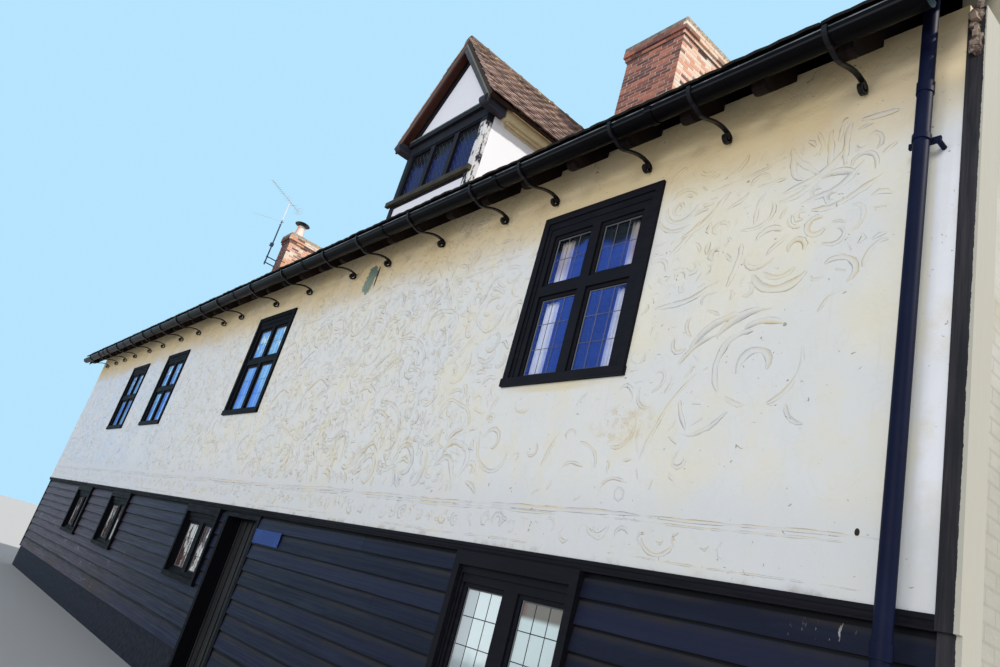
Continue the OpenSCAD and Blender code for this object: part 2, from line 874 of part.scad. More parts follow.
module dormer_plates() {
    color([0.14, 0.12, 0.11]) seated() {
        dormer_plate();
        translate([2 * dormer_x, 0, 0]) mirror([1, 0, 0]) dormer_plate();
    }
}

module dormer_slope() {
    difference() {
        into(dormer_y - dormer_verge, ridge_y) polygon([
            [dormer_x, dormer_z], [dormer_x + d_reach, d_eave_z],
            [dormer_x + d_reach - dormer_t * sin(dormer_pitch),
             d_eave_z - dormer_t * cos(dormer_pitch)],
            [dormer_x, d_under]]);
        along(dormer_x - 1, dormer_x + 2 * d_reach) polygon([
            [-eave_out, roof_seat(-eave_out)], [ridge_y + 500, roof_seat(ridge_y + 500)],
            [ridge_y + 500, eave_z - 100], [-eave_out, eave_z - 100]]);
    }
}

module dormer_roof() {
    color([0.40, 0.25, 0.20]) seated() {
        dormer_slope();
        translate([2 * dormer_x, 0, 0]) mirror([1, 0, 0]) dormer_slope();
    }
}

module dormer_board() {
    into(dormer_y - dormer_verge, dormer_y - dormer_verge + 25) polygon([
        [dormer_x, dormer_under(dormer_x)],
        [dormer_x + d_reach - 60, dormer_under(dormer_x + d_reach - 60)],
        [dormer_x + d_reach - 60, dormer_under(dormer_x + d_reach - 60) - 110],
        [dormer_x, d_under - 150]]);
}

module dormer_bargeboards() {
    color([0.13, 0.12, 0.13]) seated() difference() {
        union() {
            dormer_board();
            translate([2 * dormer_x, 0, 0]) mirror([1, 0, 0]) dormer_board();
        }
        dormer_plate();
        translate([2 * dormer_x, 0, 0]) mirror([1, 0, 0]) dormer_plate();
    }
}

module dormer_ridge() {
    r = 90;
    color([0.45, 0.28, 0.21]) seated() difference() {
        translate([dormer_x, dormer_y - dormer_verge, dormer_z - 35]) rotate([-90, 0, 0])
            linear_extrude(ridge_y) difference() {
                circle(r);
                circle(r - 16);
            }
        into(-1000, 2 * ridge_y) polygon([
            [dormer_x - 3 * r, dormer_z - 3 * r * d_slope + seat],
            [dormer_x, dormer_z + seat],
            [dormer_x + 3 * r, dormer_z - 3 * r * d_slope + seat]]);
        along(dormer_x - 500, dormer_x + 500) polygon([
            [-eave_out, roof_seat(-eave_out)], [ridge_y, roof_seat(ridge_y)],
            [ridge_y + 4000, ridge_z], [ridge_y + 4000, eave_z - 100],
            [-eave_out, eave_z - 100]]);
    }
}

// Chimneys
module large_chimney() {
    color([0.55, 0.32, 0.25]) seated()
        block(stack_x, ridge_y - stack_d / 2, floor_z,
              stack_x + stack_w, ridge_y + stack_d / 2, stack_z - 4 * course);
}

// Two oversailing courses under a weathered capping, with the mouths of the flues
module cap(x, w, d, z, flues) {
    y = ridge_y - d / 2;
    difference() {
        union() {
            block(x - oversail, y - oversail, z - 4 * course,
                  x + w + oversail, y + d + oversail, z - 3 * course);
            block(x - 2 * oversail, y - 2 * oversail, z - 3 * course,
                  x + w + 2 * oversail, y + d + 2 * oversail, z - 0.4 * course);
            block(x - oversail, y - oversail, z - 0.4 * course,
                  x + w + oversail, y + d + oversail, z);
        }
        for (i = flues)
            translate([x + w / 2, ridge_y + i, z - 120])
                cylinder(h = 200, r = 95);
    }
}

module large_chimney_cap() {
    color([0.50, 0.36, 0.30]) seated() cap(stack_x, stack_w, stack_d, stack_z, [-230, 230]);
}

module small_chimney() {
    color([0.66, 0.38, 0.24]) seated()
        block(small_x, ridge_y - small_d / 2, floor_z,
              small_x + small_w, ridge_y + small_d / 2, small_z - 4 * course);
}

module small_chimney_cap() {
    color([0.60, 0.50, 0.40]) seated() cap(small_x, small_w, small_d, small_z, [230]);
}

pot_y = ridge_y - 210;
module chimney_pot() {
    color([0.72, 0.38, 0.22]) seated() translate([small_x + small_w / 2, pot_y, small_z])
        rotate_extrude() polygon([
            [pot_r + 12, 0], [pot_r + 40, 0], [pot_r + 40, 45], [pot_r + 20, 70],
            [pot_r - 6, pot_h - 55], [pot_r, pot_h - 45], [pot_r, pot_h],
            [pot_r - 26, pot_h], [pot_r - 26, pot_h - 50], [pot_r, 60],
            [pot_r + 12, 30]]);
}

// A flat disc on three legs that stand in the pot
module pot_cowl() {
    color([0.06, 0.06, 0.07]) seated()
        translate([small_x + small_w / 2, pot_y, small_z + pot_h]) {
            translate([0, 0, 70]) cylinder(h = 22, r1 = 215, r2 = 195);
            for (a = [30:120:270]) rotate([0, 0, a])
                translate([pot_r - 20, -8, 0]) cube([12, 16, 75]);
        }
}

// Aerial
module bar_x(x0, x1, y, z, r) {
    translate([x0, y, z]) rotate([0, 90, 0]) cylinder(h = x1 - x0, r = r, $fn = 12);
}

// Mast on two arms before the small stack, with a box for the cables at its side
module aerial_mast() {
    color([0.55, 0.56, 0.58]) seated() {
        translate([mast_x, mast_y, mast_z0]) cylinder(h = mast_z1 - mast_z0, r = mast_r);
        for (rise = mast_arms) {
            z = mast_z0 + rise;
            block(mast_x - 12, mast_y - 30, z,
                  mast_x + 12, ridge_y - small_d / 2, z + 24);
            block(mast_x - 25, ridge_y - small_d / 2 - 8, z - 40,
                  mast_x + 40, ridge_y - small_d / 2, z + 64);
        }
        block(mast_x - mast_r - 70, mast_y - 45, small_z - 470,
              mast_x, mast_y + 45, small_z - 370);
    }
}

// Long boom with its directors, a dipole and a rack of bars, and a single rod below it
module aerial() {
    color([0.60, 0.61, 0.63]) seated() {
        translate([mast_x, mast_y, mast_z1 - 50]) rotate([0, 0, boom_turn])
            translate([0, -boom_off, 0]) {
                bar_x(-boom_front, boom_back, 0, 0, boom_r);
                for (i = [0:9]) translate([-boom_front + 20 + i * 110, 90 + i * 6, 0])
                    rotate([90, 0, 0]) cylinder(h = 180 + i * 12, r = 4, $fn = 8);
                translate([150, 140, 0]) rotate([90, 0, 0]) cylinder(h = 280, r = 8, $fn = 8);
                translate([boom_back - 12, -6, -110]) cube([12, 12, 220]);
                for (z = [-100:50:100]) translate([boom_back - 6, 165, z])
                    rotate([90, 0, 0]) cylinder(h = 330, r = 4, $fn = 8);
            }
        translate([mast_x, mast_y - boom_off, mast_z1 - 820]) {
            bar_x(-40, 300, 0, 0, boom_r);
            translate([290, 0, 0]) rotate([0, 0, 239]) bar_x(-20, 900, 0, 0, 6);
        }
    }
}

// Gutters, with a bead along the lip and collars at the joints
module gutter_profile() {
    difference() {
        circle(gutter_r);
        circle(gutter_r - gutter_t);
        translate([-2 * gutter_r, 0]) square([4 * gutter_r, 2 * gutter_r]);
    }
    translate([-gutter_r + 8.4, 2]) circle(8, $fn = 24);
}

module gutter(x0, x1, way) {
    translate([0, gutter_y, gutter_z]) {
        along(x0, x1) gutter_profile();
        for (x = collar_x)
            along(way > 0 ? x : -x - collar_w, way > 0 ? x + collar_w : -x) difference() {
                circle(gutter_r + 7);
                circle(gutter_r - 1);
                translate([-2 * gutter_r, -4]) square([4 * gutter_r, 2 * gutter_r]);
            }
        for (x = [x0, x1 - 5])
            along(x, x + 5) difference() {
                circle(gutter_r - 1);
                translate([-2 * gutter_r, 0]) square([4 * gutter_r, 2 * gutter_r]);
            }
    }
}

module gutter_front() {
    color([0.06, 0.06, 0.08]) seated() gutter(-half_l - verge_out, half_l - 120, 1);
}

module gutter_back() {
    color([0.06, 0.06, 0.08]) seated() to_back()
        gutter(-half_l + 120, half_l + verge_out, -1);
}

// Scroll bracket: a strap round the gutter, an S to the wall and a curl on the plaster
// that is rolled round a boss
hug_r = gutter_r + 0.6 + scroll_t / 2;
curl_r = 46;
curl_eye_r = 16;
curl_y = -curl_r * (1 - 90 / 700) - scroll_t / 2;
curl_z = gutter_z - 96;
function strap_path() = concat(
    [for (a = [176:14:274]) [gutter_y + hug_r * cos(a), gutter_z + hug_r * sin(a)]],
    [[gutter_y + 35, gutter_z - 102], [gutter_y + 78, gutter_z - 114],
     [gutter_y + 125, gutter_z - 104], [gutter_y + 175, gutter_z - 82],
     [gutter_y + 225, gutter_z - 62], [gutter_y + 275, gutter_z - 49],
     [gutter_y + 325, gutter_z - 44]],
    [for (a = [75:-25:-300])
        let (r = curl_r * (1 - (90 - a) / 700))
        [curl_y + r * cos(a), curl_z + r * sin(a)]]);
function unit(v) = v / norm(v);
function turn(v) = [-v[1], v[0]];
function heading(p, i) = unit(p[min(i + 1, len(p) - 1)] - p[max(i - 1, 0)]);
function side_of(p, d) = [for (i = [0:len(p) - 1]) p[i] + d * turn(heading(p, i))];
function back_way(p) = [for (i = [len(p) - 1:-1:0]) p[i]];

module scroll_bracket(x) {
    p = strap_path();
    along(x - scroll_w / 2, x + scroll_w / 2)
        polygon(concat(side_of(p, scroll_t / 2), back_way(side_of(p, -scroll_t / 2))));
    along(x - scroll_w / 2 - 4, x + scroll_w / 2 + 4)
        translate([curl_y, curl_z]) circle(curl_eye_r, $fn = 12);
}

module scroll_brackets() {
    color([0.07, 0.07, 0.08]) seated() {
        for (x = scroll_x) scroll_bracket(x);
        to_back() for (x = scroll_x) scroll_bracket(-x);
    }
}

// Vent pipe from the ground up through the eaves, with sockets and eared brackets
module vent_pipe() {
    color([0.07, 0.08, 0.12]) seated() {
        translate([pipe_x, pipe_y, 0]) cylinder(h = pipe_z, r = pipe_r);
        for (z = socket_z)
            translate([pipe_x, pipe_y, z]) cylinder(h = socket_h, r = pipe_r + 5);
        for (z = ear_z) {
            ear_y = pipe_y + pipe_r - 8;
            wall_y = z > jetty_z ? 0 : low_face;
            translate([pipe_x, pipe_y, z]) cylinder(h = ear_h, r = pipe_r + 7);
            block(pipe_x - ear_half, ear_y, z, pipe_x + ear_half, ear_y + ear_t, z + ear_h);
            for (x = [pipe_x - ear_half + ear_h / 2, pipe_x + ear_half - ear_h / 2])
                translate([x, ear_y + ear_t - 1, z + ear_h / 2]) rotate([-90, 0, 0])
                    cylinder(h = wall_y - ear_y - ear_t + 1, r = ear_h / 2 - 3);
        }
    }
}

plinth();
ground_floor();
upper_floor();
attic_floor();
front_wall_lower_left();
front_wall_lower_right();
back_wall_lower();
gable_wall_lower();
jetty_beams();
front_wall_upper();
back_wall_upper();
gable_wall_upper();
party_wall();
corner_post();
rafters_front();
rafters_back();
roof_front();
roof_back();
ridge_tiles();
bargeboards();
upper_window_frames();
upper_glass();
lower_window_frames();
lower_glass();
door_frame();
threshold();
front_door();
door_ring();
door_hinges();
door_pintles();
name_plate();
dormer_frame();
dormer_panels();
dormer_cheeks();
dormer_window();
dormer_glass();
dormer_plates();
dormer_roof();
dormer_bargeboards();
dormer_ridge();
large_chimney();
large_chimney_cap();
small_chimney();
small_chimney_cap();
chimney_pot();
pot_cowl();
aerial_mast();
aerial();
gutter_front();
gutter_back();
scroll_brackets();
vent_pipe();
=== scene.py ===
"""Dresses the half timbered house: weatherboards, tiles, bricks, pargeting, leaded lights, curtains and finishes."""

import json
import math
import random

import bmesh
import bpy
from mathutils import Matrix, Vector

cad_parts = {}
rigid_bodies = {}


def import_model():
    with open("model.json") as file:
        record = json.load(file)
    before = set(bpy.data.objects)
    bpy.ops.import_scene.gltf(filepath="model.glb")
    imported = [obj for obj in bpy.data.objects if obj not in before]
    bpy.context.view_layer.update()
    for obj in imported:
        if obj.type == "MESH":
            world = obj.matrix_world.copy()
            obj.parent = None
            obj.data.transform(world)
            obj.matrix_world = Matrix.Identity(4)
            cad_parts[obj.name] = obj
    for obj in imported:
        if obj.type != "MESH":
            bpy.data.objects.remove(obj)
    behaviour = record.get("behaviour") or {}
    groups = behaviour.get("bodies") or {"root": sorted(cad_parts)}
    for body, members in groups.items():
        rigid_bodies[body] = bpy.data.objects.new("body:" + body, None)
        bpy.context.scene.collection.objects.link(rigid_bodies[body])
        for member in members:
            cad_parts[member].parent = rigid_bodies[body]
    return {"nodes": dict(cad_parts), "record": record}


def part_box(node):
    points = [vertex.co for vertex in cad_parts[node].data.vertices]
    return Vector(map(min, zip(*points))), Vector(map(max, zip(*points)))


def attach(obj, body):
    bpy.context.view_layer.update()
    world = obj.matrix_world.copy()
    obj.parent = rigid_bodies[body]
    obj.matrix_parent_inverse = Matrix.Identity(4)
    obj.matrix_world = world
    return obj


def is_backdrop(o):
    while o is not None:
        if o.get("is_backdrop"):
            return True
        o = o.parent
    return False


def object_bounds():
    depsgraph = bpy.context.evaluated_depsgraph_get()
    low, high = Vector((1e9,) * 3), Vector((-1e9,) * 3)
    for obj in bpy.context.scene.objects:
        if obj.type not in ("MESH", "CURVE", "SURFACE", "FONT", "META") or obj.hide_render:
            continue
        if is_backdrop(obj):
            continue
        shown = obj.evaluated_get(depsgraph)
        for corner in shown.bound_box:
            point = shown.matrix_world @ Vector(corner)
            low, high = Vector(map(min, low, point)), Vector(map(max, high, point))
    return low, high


bl_info = {
    "name": "Half Timbered House",
    "version": (1, 0, 0),
    "blender": (4, 5, 0),
    "location": "3D View > Sidebar > House",
    "description": "Boards, tiles, bricks, pargeting, windows and finishes of a half timbered house",
    "category": "Object",
}

for left_over in list(bpy.data.objects):
    bpy.data.objects.remove(left_over)

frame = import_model()
CAD_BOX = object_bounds()
NODES = frame["nodes"]
HOUSE = "house"
LEAF = "front_door_leaf"


# ---------------------------------------------------------------- places, in metres
def low(node):
    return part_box(node)[0]


def high(node):
    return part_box(node)[1]


STREET_Y = low("front_wall_upper").y
BACK_Y = high("back_wall_upper").y
GABLE_X = low("front_wall_upper").x
END_X = high("party_wall").x
POST_X = low("corner_post").x
BOARD_Y = low("front_wall_lower_right").y
BEAM_Z = low("jetty_beams").z
JETTY = BOARD_Y - STREET_Y
HOUSE_D = BACK_Y - STREET_Y

# Upper windows as left side, sill level, width and height, seen from the street
UPPER_WINDOWS = [
    (-6.500, 3.315, 1.260, 1.435),
    (-3.885, 3.335, 1.285, 1.440),
    (0.645, 3.365, 1.280, 1.535),
    (7.018, 3.363, 1.282, 1.554),
]
GABLE_WINDOW = (2.400, 3.350, 1.270, 1.430)
# Left sides of the ground floor windows, then their width and their lowest edge
LOW_WINDOWS = [-6.580, -3.600, 0.765, 7.042]
LOW_WINDOW_W = 1.262
LOW_WINDOW_Z = 1.135
UPPER_SIDE = 0.185
UPPER_FOOT = 0.096
UPPER_HEAD = 0.221
UPPER_TOP_LIGHT = 0.425
UPPER_HALF_BAR = 0.075
UPPER_GLASS_IN = 0.034
LOW_SIDE = 0.132
LOW_HALF_BAR = 0.100
LOW_GLASS_Z = (1.279, 1.845)
LOW_GLASS_IN = 0.027

DORMER_X = (low("dormer_frame").x + high("dormer_frame").x) / 2
DORMER_RIDGE = high("dormer_roof").z
DORMER_SLOPE = math.tan(math.radians(52))
DORMER_FRONT = low("dormer_roof").y
DORMER_HALF = (high("dormer_frame").x - low("dormer_frame").x) / 2
DORMER_WALL = low("dormer_frame").y + 0.050
ROOF_PITCH = math.radians(48)
EAVE_Y = low("roof_front").y
RIDGE_Z = high("roof_front").z
EAVE_Z = RIDGE_Z + EAVE_Y * math.tan(ROOF_PITCH)
VERGE_GAP = 0.008


def roof_z(y):
    return RIDGE_Z - abs(y) * math.tan(ROOF_PITCH)


class Side:
    """One face of the house: along runs to the right of a viewer who faces it, out points at the viewer."""

    def __init__(self, start, along, out):
        self.start, self.along, self.out = Vector(start), Vector(along), Vector(out)

    def at(self, u, z, out=0.0):
        return self.start + self.along * u + self.out * out + Vector((0, 0, z))


STREET = Side((0, STREET_Y, 0), (1, 0, 0), (0, -1, 0))
STREET_LOW = Side((0, BOARD_Y, 0), (1, 0, 0), (0, -1, 0))
BACK = Side((0, BACK_Y, 0), (-1, 0, 0), (0, 1, 0))
BACK_LOW = Side((0, -BOARD_Y, 0), (-1, 0, 0), (0, 1, 0))
GABLE = Side((GABLE_X, BACK_Y, 0), (0, -1, 0), (-1, 0, 0))
GABLE_LOW = Side((GABLE_X + JETTY, BACK_Y, 0), (0, -1, 0), (-1, 0, 0))


# ---------------------------------------------------------------- settings
def length(label, text, value):
    return bpy.props.FloatProperty(name=label, description=text, default=value, unit="LENGTH", subtype="DISTANCE")


def colour(label, text, value):
    return bpy.props.FloatVectorProperty(name=label, description=text, default=value, size=3, min=0, max=1,
                                         subtype="COLOR")


class HouseBoards(bpy.types.PropertyGroup):
    """Sizes and colour of the weatherboards"""

    thick: length("Thickness", "Thickness of a board at its lower edge", 0.024)
    lap: length("Lap", "How far a board reaches under the one above it", 0.020)
    longest: length("Longest board", "Longest length that a board is cut to", 4.2)
    waver: length("Waver", "How much the lower edges wander", 0.011)
    paint: colour("Paint", "Blue-black paint of the boards", (0.0066, 0.0080, 0.0200))


class HouseTiles(bpy.types.PropertyGroup):
    """Sizes and colours of the roof tiles"""

    width: length("Width", "Width of a tile with its joint", 0.168)
    long: length("Length", "Length of a tile", 0.265)
    thick: length("Thickness", "Thickness of a tile", 0.016)
    gauge: length("Gauge", "Length of a tile that shows", 0.102)
    dark: colour("Dark clay", "Darkest tiles", (0.058, 0.040, 0.040))
    light: colour("Light clay", "Lightest tiles", (0.33, 0.215, 0.175))


class HouseBricks(bpy.types.PropertyGroup):
    """Sizes and colours of the chimney bricks"""

    long: length("Length", "Length of a brick with its joint", 0.224)
    deep: length("Depth", "Half the depth of a brick, which shows at the ends of a course", 0.051)
    course: length("Course", "Height of a course with its joint", 0.062)
    joint: length("Joint", "Width of a mortar joint", 0.0095)
    proud: length("Proud", "How far a brick stands out of its mortar", 0.003)
    mortar: colour("Mortar", "Colour of the mortar", (0.50, 0.42, 0.35))


class HousePlaster(bpy.types.PropertyGroup):
    """Colours and relief of the plaster"""

    wash: colour("Limewash", "Limewash of the walls", (0.690, 0.702, 0.700))
    ochre: colour("Ochre", "Ochre tone under the eaves", (0.60, 0.48, 0.28))
    # painted shade: this ochre stands for the shade on one flank of each scroll
    flank_shade: colour("Recess", "Ochre that lies under the scrolls", (0.64, 0.55, 0.36))
    # painted shade: the party wall's tone is kept dark, since the sun falls on this wall
    party: colour("Party wall", "Plaster of the party wall", (0.44, 0.43, 0.375))
    relief: length("Relief", "Size of a stroke of pargeting, which stands out by half of it", 0.013)
    seed: bpy.props.IntProperty(name="Seed", description="Seed of the scrolls' layout", default=11)


class HouseWindows(bpy.types.PropertyGroup):
    """Sizes and colours of the leaded lights"""

    lead: length("Lead", "Width of a lead", 0.0060)
    edge: length("Edge", "Width of the metal edge of a light", 0.011)
    paint: colour("Paint", "Paint of the joinery", (0.0075, 0.0075, 0.0105))
    metal: colour("Lead colour", "Grey of the leads", (0.13, 0.125, 0.13))


GROUPS = {
    "house_boards": HouseBoards,
    "house_tiles": HouseTiles,
    "house_bricks": HouseBricks,
    "house_plaster": HousePlaster,
    "house_windows": HouseWindows,
}


def settings(name):
    return getattr(bpy.context.scene, name)


# ---------------------------------------------------------------- materials
MATERIALS = {}
STACKS = ("large_chimney", "small_chimney")
BRICK_LONG = 0.226


def put(tree, socket, value):
    """Links a socket to value where that is another socket, or sets it"""
    if isinstance(value, bpy.types.NodeSocket):
        tree.links.new(value, socket)
    elif hasattr(value, "__len__") and not isinstance(value, str) and socket.type == "RGBA":
        socket.default_value = (*value, 1.0)[:4]
    else:
        socket.default_value = value


def add_node(tree, kind, inputs=None, **values):
    """A new node, with its properties set and its inputs linked or set"""
    node = tree.nodes.new(kind)
    for key, value in values.items():
        setattr(node, key, value)
    for key, value in (inputs or {}).items():
        put(tree, node.inputs[key], value)
    return node


class Finish:
    """A material, built from a few plain words"""

    def __init__(self, name, rough, **sockets):
        self.material = MATERIALS[name] = bpy.data.materials.new(name)
        self.material.use_nodes = True
        self.tree = self.material.node_tree
        self.shader = self.tree.nodes["Principled BSDF"]
        self.place = self.add("ShaderNodeTexCoord").outputs["Object"]
        self.x, self.y, self.z = self.add("ShaderNodeSeparateXYZ", {0: self.place}).outputs
        self.height = None
        self.set("Roughness", rough)
        for key, value in sockets.items():
            self.set(key.replace("_", " "), value)

    @property
    def tone(self):
        """The colour so far; a new one goes to the shader at once"""
        return self.colour

    @tone.setter
    def tone(self, value):
        self.colour = value
        self.set("Base Color", value)

    def add(self, kind, inputs=None, **values):
        return add_node(self.tree, kind, inputs, **values)

    def set(self, key, value):
        put(self.tree, self.shader.inputs[key], value)

    def stretched(self, scale, turn=(0, 0, 0)):
        return self.add("ShaderNodeMapping", {"Vector": self.place, "Scale": scale, "Rotation": turn}).outputs[0]

    def noise(self, scale, detail=4.0, rough=0.55, place=None, warp=0.0):
        return self.add("ShaderNodeTexNoise", {
            "Vector": place or self.place, "Scale": scale, "Detail": detail, "Roughness": rough,
            "Distortion": warp}).outputs["Fac"]

    def cells(self, scale, place, feature):
        return self.add("ShaderNodeTexVoronoi", {"Vector": place, "Scale": scale}, feature=feature).outputs["Distance"]

    def bond(self, place, joint, course, smooth):
        """1 in the mortar joints of a brick bond and 0 on its bricks"""
        return self.add("ShaderNodeTexBrick", {
            "Vector": place, "Scale": 1.0, "Mortar Size": joint, "Mortar Smooth": smooth,
            "Brick Width": BRICK_LONG, "Row Height": course}).outputs["Fac"]

    def value(self, name):
        return self.add("ShaderNodeAttribute", attribute_name=name).outputs["Fac"]

    def span(self, value, low, high, to_low=0.0, to_high=1.0):
        """Runs smoothly from to_low to to_high while the value goes from low to high"""
        return self.add("ShaderNodeMapRange", {
            "Value": value, "From Min": low, "From Max": high, "To Min": to_low, "To Max": to_high},
            interpolation_type="SMOOTHSTEP").outputs["Result"]

    def math(self, operation, first, second=0.0):
        return self.add("ShaderNodeMath", {0: first, 1: second}, operation=operation).outputs[0]

    def plus(self, first, second):
        return self.math("ADD", first, second)

    def minus(self, first, second):
        return self.math("SUBTRACT", first, second)

    def times(self, first, *others):
        for other in others:
            first = self.math("MULTIPLY", first, other)
        return first

    def moved(self, value, amount, *grain):
        """A value that a noise moves to and fro, by half of the amount at most"""
        return self.plus(value, self.times(self.minus(self.noise(*grain), 0.5), amount))

    def blend(self, factor, first, second):
        node = self.add("ShaderNodeMix", data_type="RGBA")
        for socket, value in ((0, factor), (6, first), (7, second)):
            put(self.tree, node.inputs[socket], value)
        return node.outputs[2]

    def over(self, mask, tone, share=1.0):
        """Lays a share of a second tone over the finish's own where the mask is 1"""
        self.tone = self.blend(self.times(mask, share) if share < 1 else mask, self.tone, tone)

    def mottle(self, first, second, *grain):
        self.tone = self.blend(self.noise(*grain), first, second)

    def bump(self, height, strength, depth):
        node = self.add("ShaderNodeBump", {"Height": height, "Strength": strength, "Distance": depth})
        if self.height:
            put(self.tree, node.inputs["Normal"], self.height)
        self.height = node.outputs[0]
        self.set("Normal", self.height)


def scaled(tone, *factors):
    """A colour with its channels multiplied, all by one factor or each by its own"""
    if len(factors) == 1:
        factors *= 3
    return tuple(min(1.0, c * k) for c, k in zip(tone, factors))


# ---------------------------------------------------------------- plaster
# Distance from the ridge line past which a wall is the front or the back
LONG_SIDES = (2.95, 2.99)
# Levels over which painted light lifts the shadow of the eaves
EAVE_LIGHT_Z = (4.86, 5.10)
# Marks on the street front, as the middle and half the size across and up
NAIL_HOLE = (9.95, 2.452, 0.013, 0.020)
BARE_PATCH = (3.89, 4.96, 0.14, 0.19)
BARE_EDGE = (4.04, 4.97, 0.022, 0.16)
SMUDGE = (8.36, 3.02, 0.30, 0.17)
SPECKS = (8.30, 3.08, 0.16, 0.09)
SILL_RUN = (7.62, 3.335, 0.62, 0.050)
STRIP_STAIN = (10.24, 4.30, 0.03, 0.45)


def plaster(name, wash, ochre, strength):
    """Old limewash: lumps under the trowel, ochre under the eaves, smudges and specks"""
    f = Finish(name, rough=0.88, Specular_IOR_Level=0.15)
    x, z = f.x, f.z
    long_side = f.span(f.math("ABSOLUTE", f.y), *LONG_SIDES)

    # painted shade, bluer and darker to the left; warmer at the upper right; painted light beside the vent pipe,
    # lifting the pipe's shade
    f.tone = f.blend(f.span(x, 3.0, -6.0), wash, scaled(wash, 0.83, 0.94, 1.11))
    f.over(f.times(f.span(x, 7.6, 8.4), f.span(z, 3.0, 3.7)), scaled(wash, 1.07, 1.03, 0.93))
    f.over(f.times(f.span(x, 10.17, 10.20), f.span(z, 4.95, 4.55)), scaled(wash, 1.20, 1.21, 1.30))
    f.over(f.times(f.span(f.moved(z, 0.9, 0.9, 4.0, 0.6), 4.55, 5.10), long_side), ochre, strength)

    # ochre and grey blotches, and grey runs
    blots = f.span(f.noise(3.4, 6.0, 0.65, f.stretched((1.0, 1.0, 0.8))), 0.45, 0.62, 0.0, 0.48)
    f.over(f.times(blots, f.span(x, -6.0, 1.5, 0.35, 1.0)), scaled(wash, 1.04, 0.97, 0.76))
    f.over(f.span(f.noise(1.3, 3.0, 0.5), 0.44, 0.64, 0.0, 0.65), scaled(wash, 0.94, 0.975, 1.03))
    runs = f.noise(5.0, 6.0, 0.7, f.stretched((2.2, 2.2, 0.16)))
    f.over(f.span(runs, 0.60, 0.80, 0.0, 0.22), scaled(wash, 0.60, 0.55, 0.46))

    # a darker, bluer band low over the jetty, dirt on its ledge, and ochre under the eaves, lit at the very top by
    # painted light
    f.over(f.times(f.span(z, 2.75, 2.40, 0.0, 0.6), long_side), scaled(wash, 0.86, 0.88, 0.94))
    dirt = f.times(f.span(z, 2.20, 2.15, 0.0, 0.55), f.span(f.noise(4.0, 5.0, 0.7), 0.50, 0.70))
    f.over(f.times(dirt, f.span(z, 2.10, 2.12), long_side), scaled(wash, 0.42, 0.36, 0.28))
    eave = f.span(f.moved(z, 0.5, 2.6, 4.0, 0.6), 4.60, 5.00)
    # painted light: the ochre grows lighter at the very top of the wall, lifting the eaves' shadow
    worn = f.blend(f.span(z, *EAVE_LIGHT_Z), ochre, scaled(ochre, 1.65))
    f.over(f.times(eave, long_side), worn, strength * 0.85)

    # specks and flecks
    dots = f.span(f.noise(46.0, 3.0, 0.5), 0.70, 0.76, 0.0, 0.6)
    f.over(f.times(dots, f.span(f.noise(2.0, 2.0), 0.45, 0.6)), (0.16, 0.14, 0.12))
    f.over(f.span(f.noise(17.0, 2.0, 0.4, warp=1.5), 0.735, 0.755, 0.0, 0.7), (0.24, 0.20, 0.14))

    # shallow strokes between the pargeting's own
    swirl = f.math("ABSOLUTE", f.minus(f.noise(6.5, 2.0, 0.5, warp=1.4), 0.5))
    near = f.times(f.span(x, 7.4, 5.4, 0.12, 1.0), f.span(x, 10.2, 10.1), f.span(z, 2.48, 2.62))
    swirl = f.times(f.span(swirl, 0.030, 0.008), f.span(f.noise(9.0, 2.0, 0.5), 0.42, 0.56), near)
    f.over(swirl, scaled(wash, 0.90, 0.82, 0.66), 0.5)
    f.bump(f.noise(2.2, 3.0, 0.5, warp=0.4), 0.7, 0.040)
    f.bump(swirl, 0.8, 0.007)
    f.bump(f.noise(6.0, 4.0, 0.55), 0.6, 0.014)
    f.bump(f.noise(34.0, 5.0, 0.6), 0.3, 0.0025)
    return f


def whiten_rooms(f):
    """Limewash on the faces of the ground floor walls that look into the rooms"""
    inner_y, inner_x = -high("front_wall_lower_right").y, high("gable_wall_lower").x
    inside = f.times(f.span(f.math("ABSOLUTE", f.y), inner_y + 0.006, inner_y + 0.002),
                     f.span(f.x, inner_x - 0.006, inner_x - 0.002))
    f.over(inside, f.blend(f.noise(2.0, 4.0, 0.6), (0.50, 0.48, 0.43), (0.62, 0.60, 0.55)))


def street_marks(f):
    """What the years left on the street front: a bare patch, smudges under a sill, dirt at a nail hole"""
    front = f.span(f.y, STREET_Y + 0.05, STREET_Y + 0.02)
    torn = f.minus(f.noise(7.0, 6.0, 0.75), 0.5)

    def spot(place, edge=0.3, rag=0.9):
        """An oval mask with ragged edges; place is its middle and its half sizes"""
        at_x, at_z, half_x, half_z = place
        u = f.math("DIVIDE", f.minus(f.x, at_x), half_x)
        v = f.math("DIVIDE", f.minus(f.z, at_z), half_z)
        reach = f.plus(f.times(u, u), f.times(v, v))
        return f.times(f.span(f.plus(reach, f.times(torn, rag * 2)), 1.0, 1.0 - edge), front)

    stain = f.span(f.noise(11.0, 6.0, 0.75), 0.46, 0.62)
    specks = f.span(f.noise(60.0, 3.0), 0.63, 0.69)
    f.over(spot(BARE_PATCH, 0.1, 1.7), (0.20, 0.265, 0.225))
    f.over(spot(BARE_EDGE), (0.05, 0.04, 0.03))
    f.over(f.times(spot(SMUDGE, 0.8, 1.4), stain), (0.58, 0.49, 0.33), 0.55)
    f.over(f.times(spot(SPECKS, 0.6, 1.6), specks), (0.14, 0.11, 0.07))
    f.over(spot(SILL_RUN, 0.9, 0.5), (0.66, 0.58, 0.36), 0.55)
    f.over(spot(NAIL_HOLE, 0.3, 0.3), (0.03, 0.025, 0.02))
    f.over(spot(STRIP_STAIN, 0.9, 0.8), (0.50, 0.48, 0.48), 0.12)


